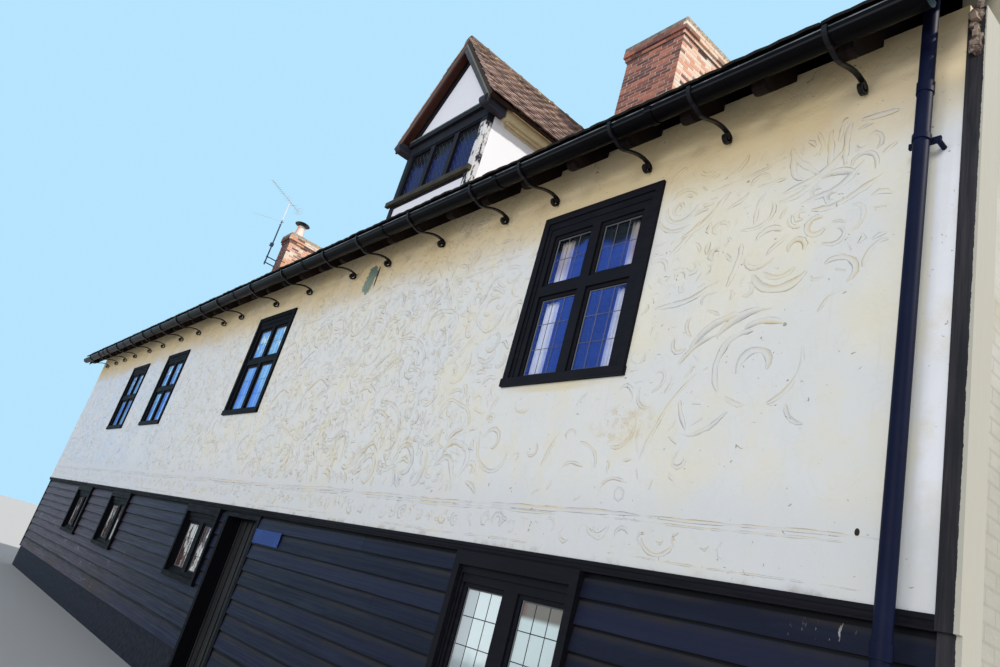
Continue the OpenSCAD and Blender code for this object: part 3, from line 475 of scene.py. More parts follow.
def plaster_finishes():
    wall = settings("house_plaster")
    wash, party = tuple(wall.wash), tuple(wall.party)
    for name in ("cream_plaster", "pargeting"):
        f = plaster(name, wash, tuple(wall.ochre), 0.85)
        street_marks(f)
    # painted shade on one flank of each stroke, grey, warming to ochre towards the right
    warm = f.times(f.span(f.noise(2.2, 3.0, 0.6), 0.36, 0.52), f.span(f.x, -6.0, 1.5, 0.25, 1.0))
    painted_flank_tone = f.blend(warm, (0.48, 0.49, 0.52), tuple(wall.flank_shade))
    f.over(f.times(f.value("flank"), f.span(f.noise(3.1, 4.0, 0.6), 0.34, 0.58, 0.15, 0.85)), painted_flank_tone)
    plaster("dormer_cream", DORMER_CREAM, DORMER_CREAM, 0.1)

    f = plaster("party_plaster", party, scaled(party, 0.9), 0.5)
    along = f.add("ShaderNodeCombineXYZ", {"X": f.plus(f.x, f.y), "Y": f.z}).outputs[0]
    joints = f.times(f.bond(along, 0.011, 0.075, 0.7), f.span(f.z, 3.9, 3.1, 0.15, 1.0))
    # painted shade: darker towards the foot of the party wall
    f.over(f.span(f.z, 3.9, 2.4, 0.0, 0.8), scaled(party, 0.86))
    f.over(joints, scaled(party, 0.70), 0.5)
    f.bump(joints, -0.6, 0.006)
    f.bump(f.noise(70.0, 3.0, 0.6), 0.7, 0.002)

    f = Finish("white_plaster", rough=0.85, Specular_IOR_Level=0.25)
    stain = f.span(f.noise(4.5, 6.0, 0.7, f.stretched((1.0, 1.0, 0.5))), 0.58, 0.80, 0.0, 0.35)
    crack = f.span(f.cells(2.0, f.stretched((1.0, 1.0, 0.7)), "DISTANCE_TO_EDGE"), 0.006, 0.0, 0.0, 0.18)
    f.tone = f.blend(stain, (0.70, 0.72, 0.80), (0.46, 0.46, 0.50))
    f.over(crack, (0.42, 0.41, 0.40))
    # painted light: the sunlit cheek is whiter than the shaded front
    cheek = DORMER_X + DORMER_HALF
    f.over(f.span(f.x, cheek - 0.03, cheek - 0.02), (0.86, 0.89, 0.95))
    f.bump(f.noise(3.0, 4.0, 0.55), 0.5, 0.015)
    f.bump(f.noise(40.0, 4.0, 0.6), 0.3, 0.001)

    f = Finish("room_wall", rough=0.9)
    f.mottle((0.30, 0.28, 0.25), (0.38, 0.36, 0.32), 2.0, 4.0, 0.6)


# ---------------------------------------------------------------- timber
UPRIGHT = (12.0, 12.0, 0.6)
DORMER_CREAM = (0.66, 0.57, 0.36)


def timber(name, dark, light, along, rough, depth=0.0015, pale=None, shine=0.18):
    """Grained wood: light and dark streaks along the grain, and a fine split surface"""
    f = Finish(name, rough=rough, Specular_IOR_Level=shine)
    grain = f.noise(3.0, 6.0, 0.65, f.stretched(along), 0.3)
    f.tone = f.blend(f.span(grain, 0.3, 0.7), dark, light)
    f.over(f.span(f.noise(1.4, 3.0, 0.5), 0.35, 0.7, 0.0, 0.5), dark)
    if pale:
        f.over(f.span(f.noise(2.6, 6.0, 0.7, f.stretched(along)), 0.56, 0.74, 0.0, 0.8), pale)
    f.set("Roughness", f.span(grain, 0.2, 0.8, rough - 0.1, rough + 0.15))
    f.bump(grain, 0.6, depth)
    return f


def board_finishes():
    """The tarred boards and the plinth under them"""
    f = Finish("black_boards", rough=0.5, Specular_IOR_Level=0.12)
    up, paint = f.value("flank"), tuple(settings("house_boards").paint)
    grain = f.noise(3.0, 7.0, 0.7, f.stretched((0.35, 22.0, 22.0)), 0.2)
    f.tone = f.blend(f.value("tint"), scaled(paint, 0.8), scaled(paint, 1.8))
    # painted sheen: lighter and more purple to the left, where light glances off the boards
    f.over(f.span(f.x, 3.0, -8.5, 0.0, 0.92), (0.076, 0.060, 0.082))
    streaks = f.noise(2.0, 6.0, 0.7, f.stretched((0.5, 3.0, 3.0)))
    f.over(f.span(streaks, 0.50, 0.8, 0.0, 0.55), (0.020, 0.026, 0.050))
    # dust, and painted light where the board faces up, on the upper part of each board
    worn = f.times(f.span(up, 0.50, 0.72), f.span(f.noise(1.4, 4.0, 0.6), 0.35, 0.62, 0.15, 0.9))
    f.over(worn, (0.022, 0.019, 0.021))

    # brown and painted sheen low on the left, flecks, drips beside the pipe, and painted shadow under the nose of each
    # board
    brown = f.times(f.span(f.x, -0.5, -2.5), f.span(f.z, 0.95, 0.60, 0.0, 0.7))
    f.over(f.times(brown, f.span(f.noise(1.2, 4.0, 0.6), 0.35, 0.6)), (0.044, 0.030, 0.026))
    sheen_and_bleach = f.span(f.noise(1.9, 5.0, 0.6, f.stretched((0.8, 1.6, 2.4))), 0.60, 0.78, 0.0, 0.7)
    f.over(f.times(f.span(f.x, 0.0, -1.5), f.span(f.z, 1.45, 1.30), sheen_and_bleach), (0.26, 0.23, 0.26))
    f.over(f.span(f.noise(26.0, 4.0, 0.8), 0.74, 0.80, 0.0, 0.45), (0.08, 0.08, 0.09))
    near = f.times(f.span(f.x, 9.62, 9.70), f.span(f.x, 9.99, 9.93), f.span(f.z, 1.78, 1.82))
    drips = f.span(f.noise(9.0, 4.0, 0.7, f.stretched((5.0, 5.0, 0.8))), 0.635, 0.69)
    f.over(f.times(near, drips), (0.30, 0.30, 0.31))
    # painted shadow where each board runs under the nose of the one above
    f.over(f.span(up, 0.76, 0.82), (0.0022, 0.0022, 0.003))
    whiten_rooms(f)
    f.set("Roughness", f.span(grain, 0.25, 0.75, 0.42, 0.68))
    f.bump(grain, 0.5, 0.0016)
    f.bump(f.noise(1.6, 3.0, 0.5), 0.6, 0.010)

    f = Finish("plinth_tar", rough=0.7, Specular_IOR_Level=0.10)
    wave = f.noise(14.0, 5.0, 0.65)
    f.tone = f.blend(f.span(wave, 0.35, 0.7), (0.008, 0.009, 0.015), (0.022, 0.024, 0.036))
    whiten_rooms(f)
    f.bump(f.bond(f.stretched((1, 1, 1), (math.pi / 2, 0, 0)), 0.010, 0.072, 0.4), -0.7, 0.008)
    f.bump(wave, 0.5, 0.004)


def timber_finishes():
    paint = tuple(settings("house_windows").paint)
    f = timber("dark_oak", (0.011, 0.010, 0.013), (0.040, 0.038, 0.045), UPRIGHT, 0.7, 0.005)
    edge = f.minus(f.moved(f.x, 0.016, 22.0, 5.0, 0.7), f.times(f.z, 0.0050))
    f.over(f.span(edge, END_X - 0.034, END_X - 0.032), tuple(settings("house_plaster").party))
    timber("brown_oak", (0.008, 0.006, 0.006), (0.026, 0.016, 0.013), (12.0, 0.8, 0.8), 0.7, 0.003, shine=0.08)
    timber("old_boards", (0.14, 0.09, 0.055), (0.27, 0.18, 0.11), (0.6, 9.0, 9.0), 0.5)
    f = timber("black_paint", paint, scaled(paint, 1.7), (1.2, 10.0, 10.0), 0.55, 0.0006, shine=0.05)
    # painted shade: darker to the left, to offset the gloss the joinery catches there
    f.over(f.span(f.x, 5.0, 3.0, 0.0, 0.9), scaled(paint, 0.6))
    timber("door_paint", (0.010, 0.0095, 0.011), (0.028, 0.027, 0.027), (14.0, 14.0, 0.5), 0.5, 0.0012,
           (0.052, 0.049, 0.046))


def dormer_finishes():
    """The dormer's timbers, which have each weathered in their own way; painted light on the left bargeboards and eaves
    """
    blue_black = ((0.007, 0.007, 0.010), (0.021, 0.021, 0.031))
    cream = ((0.72, 0.64, 0.40), (0.55, 0.46, 0.27))
    right = DORMER_X + DORMER_HALF
    deep = (DORMER_FRONT + 0.36, DORMER_FRONT + 0.40)  # where the cream eaves begin

    f = timber("dormer_timber", *blue_black, UPRIGHT, 0.65, 0.003, shine=0.10)
    flakes = f.noise(16.0, 6.0, 0.75, f.stretched((1.0, 1.0, 0.35)))
    washed = f.times(f.span(f.x, right - 0.13, right - 0.11), f.span(f.plus(f.z, f.times(flakes, 0.16)), 7.30, 7.27))
    f.over(f.times(washed, f.span(flakes, 0.44, 0.50)), (0.62, 0.63, 0.66))
    head = high("dormer_window").z + 0.248
    moss = f.times(f.span(f.z, head - 0.035, head - 0.015), f.span(f.z, head + 0.03, head + 0.01))
    f.over(f.times(moss, f.span(flakes, 0.30, 0.55)), (0.13, 0.17, 0.15))

    f = timber("dormer_joinery", *blue_black, UPRIGHT, 0.6, 0.002, (0.045, 0.042, 0.060), 0.10)
    front = f.span(f.y, DORMER_WALL + 0.004, DORMER_WALL - 0.004)
    f.over(f.times(front, f.span(f.noise(7.0, 6.0, 0.7), 0.35, 0.60, 0.6, 1.0)), (0.052, 0.044, 0.028))

    f = timber("dormer_boards", (0.030, 0.028, 0.036), (0.090, 0.085, 0.105), (9.0, 9.0, 2.0), 0.65, 0.003)
    # painted light: the left bargeboard shows warm red where it is lit
    lit_red = f.blend(f.noise(5.0, 5.0, 0.7), (0.085, 0.020, 0.012), (0.050, 0.020, 0.014))
    f.over(f.span(f.x, DORMER_X + 0.02, DORMER_X - 0.02, 0.0, 0.9), lit_red)
    level = f.plus(f.z, f.times(f.math("ABSOLUTE", f.minus(f.x, DORMER_X)), DORMER_SLOPE))
    verge = f.plus(level, f.times(f.noise(9.0, 5.0, 0.7), 0.05))
    f.over(f.span(verge, DORMER_RIDGE - 0.105, DORMER_RIDGE - 0.085, 0.0, 0.9), (0.15, 0.16, 0.11))

    f = timber("dormer_eaves", (0.020, 0.011, 0.009), (0.060, 0.030, 0.024), (1.0, 9.0, 9.0), 0.7, 0.003)
    lit = f.span(f.x, DORMER_X + 0.01, DORMER_X - 0.01, 0.0, 0.85)
    f.over(lit, f.blend(f.noise(6.0, 5.0, 0.7), (0.15, 0.040, 0.022), (0.060, 0.035, 0.030)))
    edge = high("dormer_roof").x
    side = f.times(f.span(f.x, DORMER_X + 0.5, DORMER_X + 0.6), f.span(f.x, edge - 0.030, edge - 0.034))
    f.over(f.times(side, f.span(f.y, *deep)), f.blend(f.noise(4.0, 5.0, 0.7), *cream))

    f = timber("dormer_plate", (0.026, 0.027, 0.040), (0.060, 0.060, 0.080), (9.0, 0.8, 9.0), 0.65, 0.003)
    ragged = f.plus(f.y, f.times(f.noise(8.0, 4.0, 0.7), 0.10))
    f.over(f.span(ragged, *deep), f.blend(f.noise(4.0, 5.0, 0.7), *cream))


# ---------------------------------------------------------------- clay, brick and stone
def fired(name, dark, light, rough, lichen, lichen_z=None, dark_z=None):
    """Burnt clay with soot, grey patches and spots of lichen, most of them between two levels"""
    f = Finish(name, rough=rough, Specular_IOR_Level=0.3)
    mix = f.plus(f.times(f.value("tint"), 0.6), f.times(f.noise(9.0, 4.0, 0.6), 0.5))
    f.tone = f.blend(mix, dark, light)
    f.over(f.span(f.noise(1.1, 5.0, 0.65), 0.42, 0.72, 0.0, 0.25), scaled(dark, 0.45))
    f.over(f.span(f.noise(14.0, 6.0, 0.7), 0.58, 0.74, 0.0, 0.45), (0.20, 0.19, 0.16))
    spots = f.span(f.noise(19.0, 3.0, 0.5), 0.62, 0.68)
    if lichen_z:
        spots = f.times(spots, f.plus(f.span(f.z, *lichen_z), 0.12))
    f.over(f.times(spots, lichen), (0.58, 0.52, 0.24))
    if dark_z:
        f.over(f.span(f.z, dark_z + 0.035, dark_z), (0.010, 0.009, 0.009))
    f.bump(f.noise(70.0, 4.0, 0.6), 0.4, 0.0012)
    f.bump(f.noise(16.0, 4.0, 0.6), 0.4, 0.004)
    return f


def bricks_of(name, stack, dark, light, sunny):
    """Brick faces: no two alike, a few burnt; painted sunlight makes the ones on the right pale"""
    f = Finish(name, rough=0.92, Specular_IOR_Level=0.15)
    tint = f.value("tint")
    f.tone = f.blend(tint, dark, light)
    f.over(f.span(f.noise(7.0, 5.0, 0.7), 0.50, 0.75, 0.0, 0.6), (0.20, 0.135, 0.130))
    f.over(f.span(f.noise(11.0, 5.0, 0.6), 0.64, 0.72, 0.0, 0.4), (0.42, 0.33, 0.27))
    # painted sunlight on the right side of the stack
    sunlit_side = f.span(f.x, high(stack).x - 0.006, high(stack).x - 0.002, 0.0, 0.82)
    sunlit_tone = f.blend(f.span(f.noise(2.4, 4.0, 0.7), 0.45, 0.62), sunny, (0.97, 0.88, 0.76))
    own = f.math("FRACT", f.times(tint, 13.0))
    bright = f.blend(f.span(own, 0.48, 0.60), sunlit_tone, (0.86, 0.46, 0.32))
    f.over(sunlit_side, f.blend(f.span(own, 0.78, 0.84), bright, (0.24, 0.14, 0.13)))
    f.over(f.span(f.math("FRACT", f.times(tint, 7.0)), 0.80, 0.88, 0.0, 0.65), (0.085, 0.060, 0.066))
    f.bump(f.noise(45.0, 5.0, 0.65), 0.7, 0.003)


def clay_finishes():
    tiles, mortar = settings("house_tiles"), tuple(settings("house_bricks").mortar)
    fired("clay_tile", tuple(tiles.dark), tuple(tiles.light), 0.8, 0.35, None, EAVE_Z + 0.075)
    fired("dormer_tile", (0.050, 0.036, 0.036), (0.52, 0.36, 0.30), 0.85, 0.9, (8.30, 8.66))
    fired("ridge_clay", (0.12, 0.08, 0.06), (0.27, 0.17, 0.12), 0.8, 0.9)
    f = fired("terracotta", (0.36, 0.15, 0.08), (0.50, 0.24, 0.13), 0.7, 0.25)
    lo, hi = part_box("chimney_pot")
    sunny = f.span(f.x, (lo.x + hi.x) / 2, hi.x - 0.02, 0.0, 0.85)
    f.over(f.minus(1.0, sunny), (0.86, 0.30, 0.16), 0.7)
    f.over(sunny, (0.97, 0.90, 0.84))

    f = Finish("brick", rough=0.9)
    f.tone = f.blend(f.span(f.noise(5.0, 5.0, 0.6), 0.35, 0.7), mortar, scaled(mortar, 0.6))
    # painted sunlight: pale mortar on the right side of each stack
    for stack in STACKS:
        x = high(stack).x
        f.over(f.times(f.span(f.x, x - 0.004, x - 0.001), f.span(f.x, x + 0.09, x + 0.07)), (0.92, 0.84, 0.72), 0.8)
    f.bump(f.noise(60.0, 4.0, 0.6), 0.6, 0.003)
    bricks_of("brick_face", "large_chimney", (0.130, 0.058, 0.056), (0.46, 0.180, 0.130), (0.96, 0.70, 0.52))
    bricks_of("small_brick_face", "small_chimney", (0.045, 0.018, 0.022), (0.13, 0.042, 0.040), (0.92, 0.44, 0.22))

    f = Finish("cap_mortar", rough=0.95)
    f.tone = f.blend(f.span(f.noise(8.0, 6.0, 0.65), 0.35, 0.7), (0.13, 0.105, 0.095), (0.27, 0.22, 0.18))
    f.over(f.span(f.noise(17.0, 4.0, 0.6), 0.60, 0.68, 0.0, 0.8), (0.42, 0.39, 0.26))
    pale = f.blend(f.span(f.noise(26.0, 4.0, 0.7), 0.42, 0.58), (0.60, 0.52, 0.38), (0.30, 0.25, 0.21))
    # painted sunlight: the right side of each cap is paler
    for stack in STACKS:
        x = high(stack + "_cap").x
        f.over(f.times(f.span(f.x, x - 0.032, x - 0.028), f.span(f.x, x + 0.06, x + 0.04)), pale, 0.85)
    f.bump(f.noise(30.0, 5.0, 0.65), 0.8, 0.006)

    f = Finish("rubble", rough=0.95)
    f.tone = f.blend(f.value("tint"), (0.070, 0.045, 0.038), (0.30, 0.22, 0.17))
    f.over(f.span(f.noise(40.0, 4.0, 0.7), 0.5, 0.7), (0.40, 0.35, 0.29))
    f.bump(f.noise(50.0, 5.0, 0.65), 0.8, 0.005)
    f = Finish("mortar_fillet", rough=0.95)
    f.mottle((0.26, 0.24, 0.21), (0.44, 0.41, 0.36), 10.0, 5.0, 0.6)
    f.bump(f.noise(25.0, 5.0, 0.65), 0.8, 0.006)
    f = Finish("worn_stone", rough=0.8)
    f.mottle((0.13, 0.125, 0.115), (0.27, 0.26, 0.24), 7.0, 6.0, 0.65)
    f.bump(f.noise(20.0, 5.0, 0.6), 0.6, 0.004)

    f = Finish("floor_brick", rough=0.85)
    bond = f.add("ShaderNodeTexBrick", {
        "Vector": f.place, "Scale": 1.0, "Color1": (0.22, 0.10, 0.06, 1), "Color2": (0.14, 0.075, 0.05, 1),
        "Mortar": (0.20, 0.17, 0.14, 1), "Mortar Size": 0.008, "Brick Width": BRICK_LONG, "Row Height": 0.113})
    f.set("Base Color", bond.outputs["Color"])
    f.bump(bond.outputs["Fac"], -0.6, 0.004)


# ---------------------------------------------------------------- paint and metal
# Name, tone, roughness, tone of the worn spots, metallic, specular level
PAINTS = [
    ("black_iron", (0.006, 0.006, 0.008), 0.35, (0.018, 0.014, 0.012), 0.0, 0.18),
    ("gutter_iron", (0.0016, 0.0016, 0.0024), 0.38, (0.009, 0.008, 0.008), 0.0, 0.05),
    ("pipe_paint", (0.0045, 0.0065, 0.024), 0.50, (0.012, 0.013, 0.024), 0.0, 0.07),
    ("plate_paint", (0.010, 0.036, 0.17), 0.45, (0.016, 0.040, 0.15), 0.0, 0.15),
    ("mast_alloy", (0.62, 0.66, 0.72), 0.5, (0.45, 0.46, 0.50), 0.2, 0.3),
    ("aerial_alloy", (0.50, 0.62, 0.74), 0.6, (0.42, 0.50, 0.60), 0.0, 0.3),
    ("lead_grey", None, 0.5, (0.10, 0.10, 0.11), 0.2, 0.3),
    ("pane_edge", (0.11, 0.115, 0.125), 0.5, (0.07, 0.07, 0.08), 0.2, 0.3),
    ("dormer_lead", (0.035, 0.040, 0.055), 0.5, (0.07, 0.07, 0.08), 0.0, 0.3),
    ("iron_stud", (0.018, 0.017, 0.017), 0.4, (0.05, 0.035, 0.028), 0.0, 0.3),
]


def paint_finishes():
    made = {}
    for name, tone, rough, spot, metallic, shine in PAINTS:
        tone = tone or tuple(settings("house_windows").metal)
        made[name] = f = Finish(name, rough=rough, Metallic=metallic, Specular_IOR_Level=shine)
        wear = f.span(f.noise(22.0, 6.0, 0.7), 0.60, 0.72, 0.0, 0.6)
        f.tone = f.blend(wear, tone, spot)
        f.over(f.span(f.noise(2.5, 5.0, 0.6), 0.45, 0.75, 0.0, 0.4), tuple(min(1, c * 1.8 + 0.004) for c in tone))
        f.set("Roughness", f.span(wear, 0.0, 0.6, rough, min(0.9, rough + 0.25)))
        f.bump(f.noise(30.0, 4.0, 0.6), 0.25, 0.0008)

    # painted highlights on the gutter's bead and on its belly
    f, lip = made["gutter_iron"], high("gutter_front").z
    bead = f.times(f.span(f.z, lip - 0.016, lip - 0.012), f.span(f.noise(7.0, 4.0, 0.6), 0.35, 0.60, 0.25, 1.0))
    f.over(bead, (0.20, 0.205, 0.22))
    belly_highlight = f.times(f.span(f.z, lip - 0.052, lip - 0.047), f.span(f.z, lip - 0.036, lip - 0.041))
    f.over(belly_highlight, (0.035, 0.036, 0.040), 0.6)
    f = made["mast_alloy"]
    f.over(f.span(f.z, 10.62, 10.55), (0.020, 0.028, 0.070))
    f = made["lead_grey"]
    f.over(f.span(f.z, 2.2, 2.1), (0.016, 0.018, 0.022))


# ---------------------------------------------------------------- glass and cloth
PANE_ALPHA = 0.215
# How far the two clear strips in the right window reach in from its sides: (from left), (from right)
CLEAR_STRIPS = ((0.20, 0.36), (0.26, 0.16))


def glazing(name, low_tone, high_tone, alpha, change_z, rough=0.05, shine=0.35):
    """A pane whose tone is a painted reflection, which changes at one level, in some panes to painted shade"""
    f = Finish(name, rough=rough, Specular_IOR_Level=shine, Alpha=alpha)
    f.tone = f.blend(f.span(f.noise(1.1, 3.0, 0.6), 0.35, 0.65), low_tone, scaled(low_tone, 0.72))
    f.over(f.span(f.moved(f.z, 0.35, 2.6, 3.0, 0.5), change_z - 0.05, change_z + 0.05), high_tone)
    f.bump(f.noise(5.0, 2.0, 0.5), 0.10, 0.006)
    return f


def glass_finishes():
    f = glazing("window_glass", (0.070, 0.19, 1.0), (0.012, 0.012, 0.018), PANE_ALPHA, 4.55)
    # painted reflection of a pale sky with clouds in the far windows
    far = f.span(f.x, 5.0, 3.0)
    pale = f.blend(f.span(f.noise(1.7, 3.0, 0.5), 0.40, 0.62), (0.085, 0.30, 1.0), (0.20, 0.52, 1.0))
    clouds = f.times(f.span(f.z, 4.30, 4.42), f.span(f.noise(5.0, 3.0), 0.50, 0.58))
    f.over(f.times(far, f.span(f.z, 4.74, 4.62)), f.blend(clouds, pale, (0.60, 0.84, 1.0)))
    left, _, wide, _ = UPPER_WINDOWS[3]
    (a, b), (c, d) = CLEAR_STRIPS
    cloth = 0.0
    for near, end in ((left + a, left + b), (left + wide - c, left + wide - d)):
        cloth = f.math("MAXIMUM", cloth, f.times(f.span(f.x, near, near + 0.02), f.span(f.x, end, end - 0.02)))
    f.set("Alpha", f.plus(f.minus(PANE_ALPHA, f.times(cloth, 0.12)), f.times(far, 0.74)))

    # painted reflection of a pale building on the ground floor glass
    f = glazing("low_glass", (0.62, 0.77, 0.80), (0.84, 0.97, 1.0), 0.84, 1.45, 0.2)
    f.over(f.span(f.x, 7.66, 7.70, 0.0, 0.5), (0.50, 0.64, 0.66))
    f.over(f.span(f.x, 7.31, 7.29, 0.0, 0.45), (0.30, 0.33, 0.36))
    blind = f.blend(f.span(f.x, 7.80, 7.84), (0.16, 0.075, 0.05), (0.17, 0.145, 0.115))
    f.over(f.times(f.span(f.x, 7.70, 7.72), f.span(f.z, 1.72, 1.76)), blind, 0.9)
    # painted shade: the far windows show dark rooms behind the glass
    brown = f.span(f.noise(4.5, 5.0, 0.7, f.stretched((1.0, 1.0, 0.6))), 0.46, 0.53)
    f.over(f.span(f.x, 5.0, 3.0), f.blend(brown, (0.66, 0.68, 0.68), (0.085, 0.045, 0.042)))
    glazing("dormer_pane", (0.009, 0.018, 0.115), (0.005, 0.005, 0.008), 0.92, 7.10, 0.2, 0.04)

    f = Finish("curtain", rough=0.9, Sheen_Weight=0.3)
    f.mottle((0.90, 0.94, 0.97), (0.80, 0.84, 0.90), 6.0, 3.0, 0.5)
    f.over(f.span(f.z, 4.30, 4.45, 0.0, 0.7), (0.42, 0.33, 0.26))
    weave = f.add("ShaderNodeTexWave", {"Vector": f.stretched((1, 1, 1)), "Scale": 120.0, "Distortion": 1.0},
                  bands_direction="Z").outputs["Fac"]
    f.bump(weave, 0.2, 0.0006)


def make_materials():
    """Every finish, by the record's slot or by its own name"""
    for group in (plaster_finishes, board_finishes, timber_finishes, dormer_finishes, clay_finishes, paint_finishes,
                  glass_finishes):
        group()


def dress_nodes():
    """Gives every node of the frame the finish of its slot"""
    special = {
        "lower_glass": "low_glass", "dormer_glass": "dormer_pane", "dormer_window": "dormer_joinery",
        "dormer_frame": "dormer_timber", "dormer_plates": "dormer_plate", "dormer_roof": "dormer_eaves",
        "roof_front": "brown_oak", "roof_back": "brown_oak", "jetty_beams": "black_paint",
        "dormer_bargeboards": "dormer_boards", "gutter_front": "gutter_iron", "gutter_back": "gutter_iron",
        "aerial": "aerial_alloy",
    }
    slots = {row["node"]: row["material_slot"] for row in frame["record"]["subparts"]}
    for name, node in NODES.items():
        node.data.materials.clear()
        node.data.materials.append(MATERIALS[special.get(name, slots[name])])


# ---------------------------------------------------------------- meshes
def new_object(name, data):
    piece = bpy.data.objects.new(name, data)
    bpy.context.scene.collection.objects.link(piece)
    return piece


def drop(*pieces):
    for piece in pieces:
        bpy.data.objects.remove(piece)


def mesh_of(name, points, edges=(), faces=(), **attributes):
    """A mesh, with one value a point for each named attribute"""
    mesh = bpy.data.meshes.new(name)
    mesh.from_pydata([tuple(p) for p in points], list(edges), list(faces))
    for key, values in attributes.items():
        kind, field = ("FLOAT_VECTOR", "vector") if hasattr(values[0], "__len__") else ("FLOAT", "value")
        layer = mesh.attributes.new(key, kind, "POINT")
        for item, value in zip(layer.data, values):
            setattr(item, field, value)
    mesh.update()
    return mesh


def kept(work, name):
    """The mesh that a bmesh holds; the bmesh is freed"""
    mesh = bpy.data.meshes.new(name)
    work.to_mesh(mesh)
    work.free()
    return mesh


class Outline:
    """Open runs of points, gathered into one mesh of edges with a size and a tint for each run"""

    def __init__(self):
        self.points, self.edges, self.size, self.tint = [], [], [], []

    def run(self, points, size=1.0, tint=0.5):
        first, count = len(self.points), len(points)
        self.points.extend(points)
        self.size.extend(size if hasattr(size, "__len__") else [size] * count)
        self.tint.extend([tint] * count)
        self.edges.extend((first + i, first + i + 1) for i in range(count - 1))

    def mesh(self, name):
        return mesh_of(name, self.points, self.edges, size=self.size, tint=self.tint)


class Marks:
    """Points that something is laid on, each with a turn and a size"""

    def __init__(self):
        self.points, self.turn, self.size = [], [], []

    def put(self, point, turn=(0, 0, 0), size=(1, 1, 1)):
        self.points.append(point)
        self.turn.append(tuple(turn))
        self.size.append(tuple(size))

    def mesh(self, name):
        return mesh_of(name, self.points, turn=self.turn, size=self.size)


def new_tree(name, sockets):
    """An empty tree, a function that adds a node to it and returns one of its outputs, and the tree's own inputs"""
    tree = bpy.data.node_groups.new(name, "GeometryNodeTree")
    for label, kind in (("Geometry", "Geometry"), *sockets):
        tree.interface.new_socket(label, in_out="INPUT", socket_type="NodeSocket" + kind)
    tree.interface.new_socket("Geometry", in_out="OUTPUT", socket_type="NodeSocketGeometry")

    def add(kind, inputs=None, output=0, **values):
        return add_node(tree, kind, inputs, **values).outputs[output]

    return tree, add, tree.nodes.new("NodeGroupInput").outputs


def end_tree(tree, add, shape, material):
    shape = add("GeometryNodeRealizeInstances", {"Geometry": shape})
    shape = add("GeometryNodeSetMaterial", {"Geometry": shape, "Material": material})
    add_node(tree, "NodeGroupOutput", {"Geometry": shape})
    return tree


def sweep_tree():
    """Draws a section along every run of edges, and lets its loose points wander"""
    tree, add, given = new_tree("house_sweep", [
        ("Section", "Object"), ("Step", "Float"), ("Outward", "Vector"), ("Waver", "Float"),
        ("Wave Scale", "Float"), ("Seed", "Int"), ("Smooth", "Bool"), ("Material", "Material")])
    line = add("GeometryNodeMeshToCurve", {"Mesh": given["Geometry"]})
    line = add("GeometryNodeResampleCurve", {"Curve": line, "Length": given["Step"]}, mode="LENGTH")
    line = add("GeometryNodeSetCurveNormal", {"Curve": line, "Normal": given["Outward"]}, mode="FREE")
    shape = add("GeometryNodeObjectInfo", {"Object": given["Section"]}, "Geometry")
    shape = add("GeometryNodeMeshToCurve", {"Mesh": shape})
    size = add("GeometryNodeInputNamedAttribute", {"Name": "size"}, data_type="FLOAT")
    swept = add("GeometryNodeCurveToMesh", {"Curve": line, "Profile Curve": shape, "Scale": size, "Fill Caps": True})
    place = add("GeometryNodeInputPosition")
    shift = add("ShaderNodeVectorMath", {0: place, 1: given["Seed"]}, operation="ADD")
    wave = add("ShaderNodeTexNoise", {"Vector": shift, "Scale": given["Wave Scale"], "Detail": 3.0}, "Color")
    wave = add("ShaderNodeVectorMath", {0: wave, 1: (0.5, 0.5, 0.5)}, operation="SUBTRACT")
    loose = add("GeometryNodeInputNamedAttribute", {"Name": "loose"}, data_type="FLOAT")
    amount = add("ShaderNodeMath", {0: given["Waver"], 1: loose}, operation="MULTIPLY")
    wave = add("ShaderNodeVectorMath", {0: wave, 3: amount}, operation="SCALE")
    swept = add("GeometryNodeSetPosition", {"Geometry": swept, "Offset": wave})
    swept = add("GeometryNodeSetShadeSmooth", {"Geometry": swept, "Shade Smooth": given["Smooth"]})
    return end_tree(tree, add, swept, given["Material"])


def scatter_tree():
    """Lays an item on every mark, each a little turned and shifted, with a tint of its own"""
    tree, add, given = new_tree("house_scatter", [
        ("Item", "Object"), ("Turn", "Float"), ("Shift", "Float"), ("Seed", "Int"), ("Material", "Material")])
    item = add("GeometryNodeObjectInfo", {"Object": given["Item"]}, "Geometry")
    turn, size = (add("GeometryNodeInputNamedAttribute", {"Name": name}, data_type="FLOAT_VECTOR")
                  for name in ("turn", "size"))

    def wander(amount, number):
        seed = add("ShaderNodeMath", {0: given["Seed"], 1: float(number)}, operation="ADD")
        free = add("FunctionNodeRandomValue", {0: (-1, -1, -1), 1: (1, 1, 1), "Seed": seed}, data_type="FLOAT_VECTOR")
        return add("ShaderNodeVectorMath", {0: free, 3: amount}, operation="SCALE")

    turned = add("ShaderNodeVectorMath", {0: turn, 1: wander(given["Turn"], 1)}, operation="ADD")
    marks = add("GeometryNodeSetPosition", {"Geometry": given["Geometry"], "Offset": wander(given["Shift"], 2)})
    laid = add("GeometryNodeInstanceOnPoints", {"Points": marks, "Instance": item, "Rotation": turned, "Scale": size})
    tint = add("FunctionNodeRandomValue", {"Seed": given["Seed"]}, 1, data_type="FLOAT")
    laid = add("GeometryNodeStoreNamedAttribute", {"Geometry": laid, "Name": "tint", "Value": tint},
               data_type="FLOAT", domain="INSTANCE")
    return end_tree(tree, add, laid, given["Material"])


TREES = {}


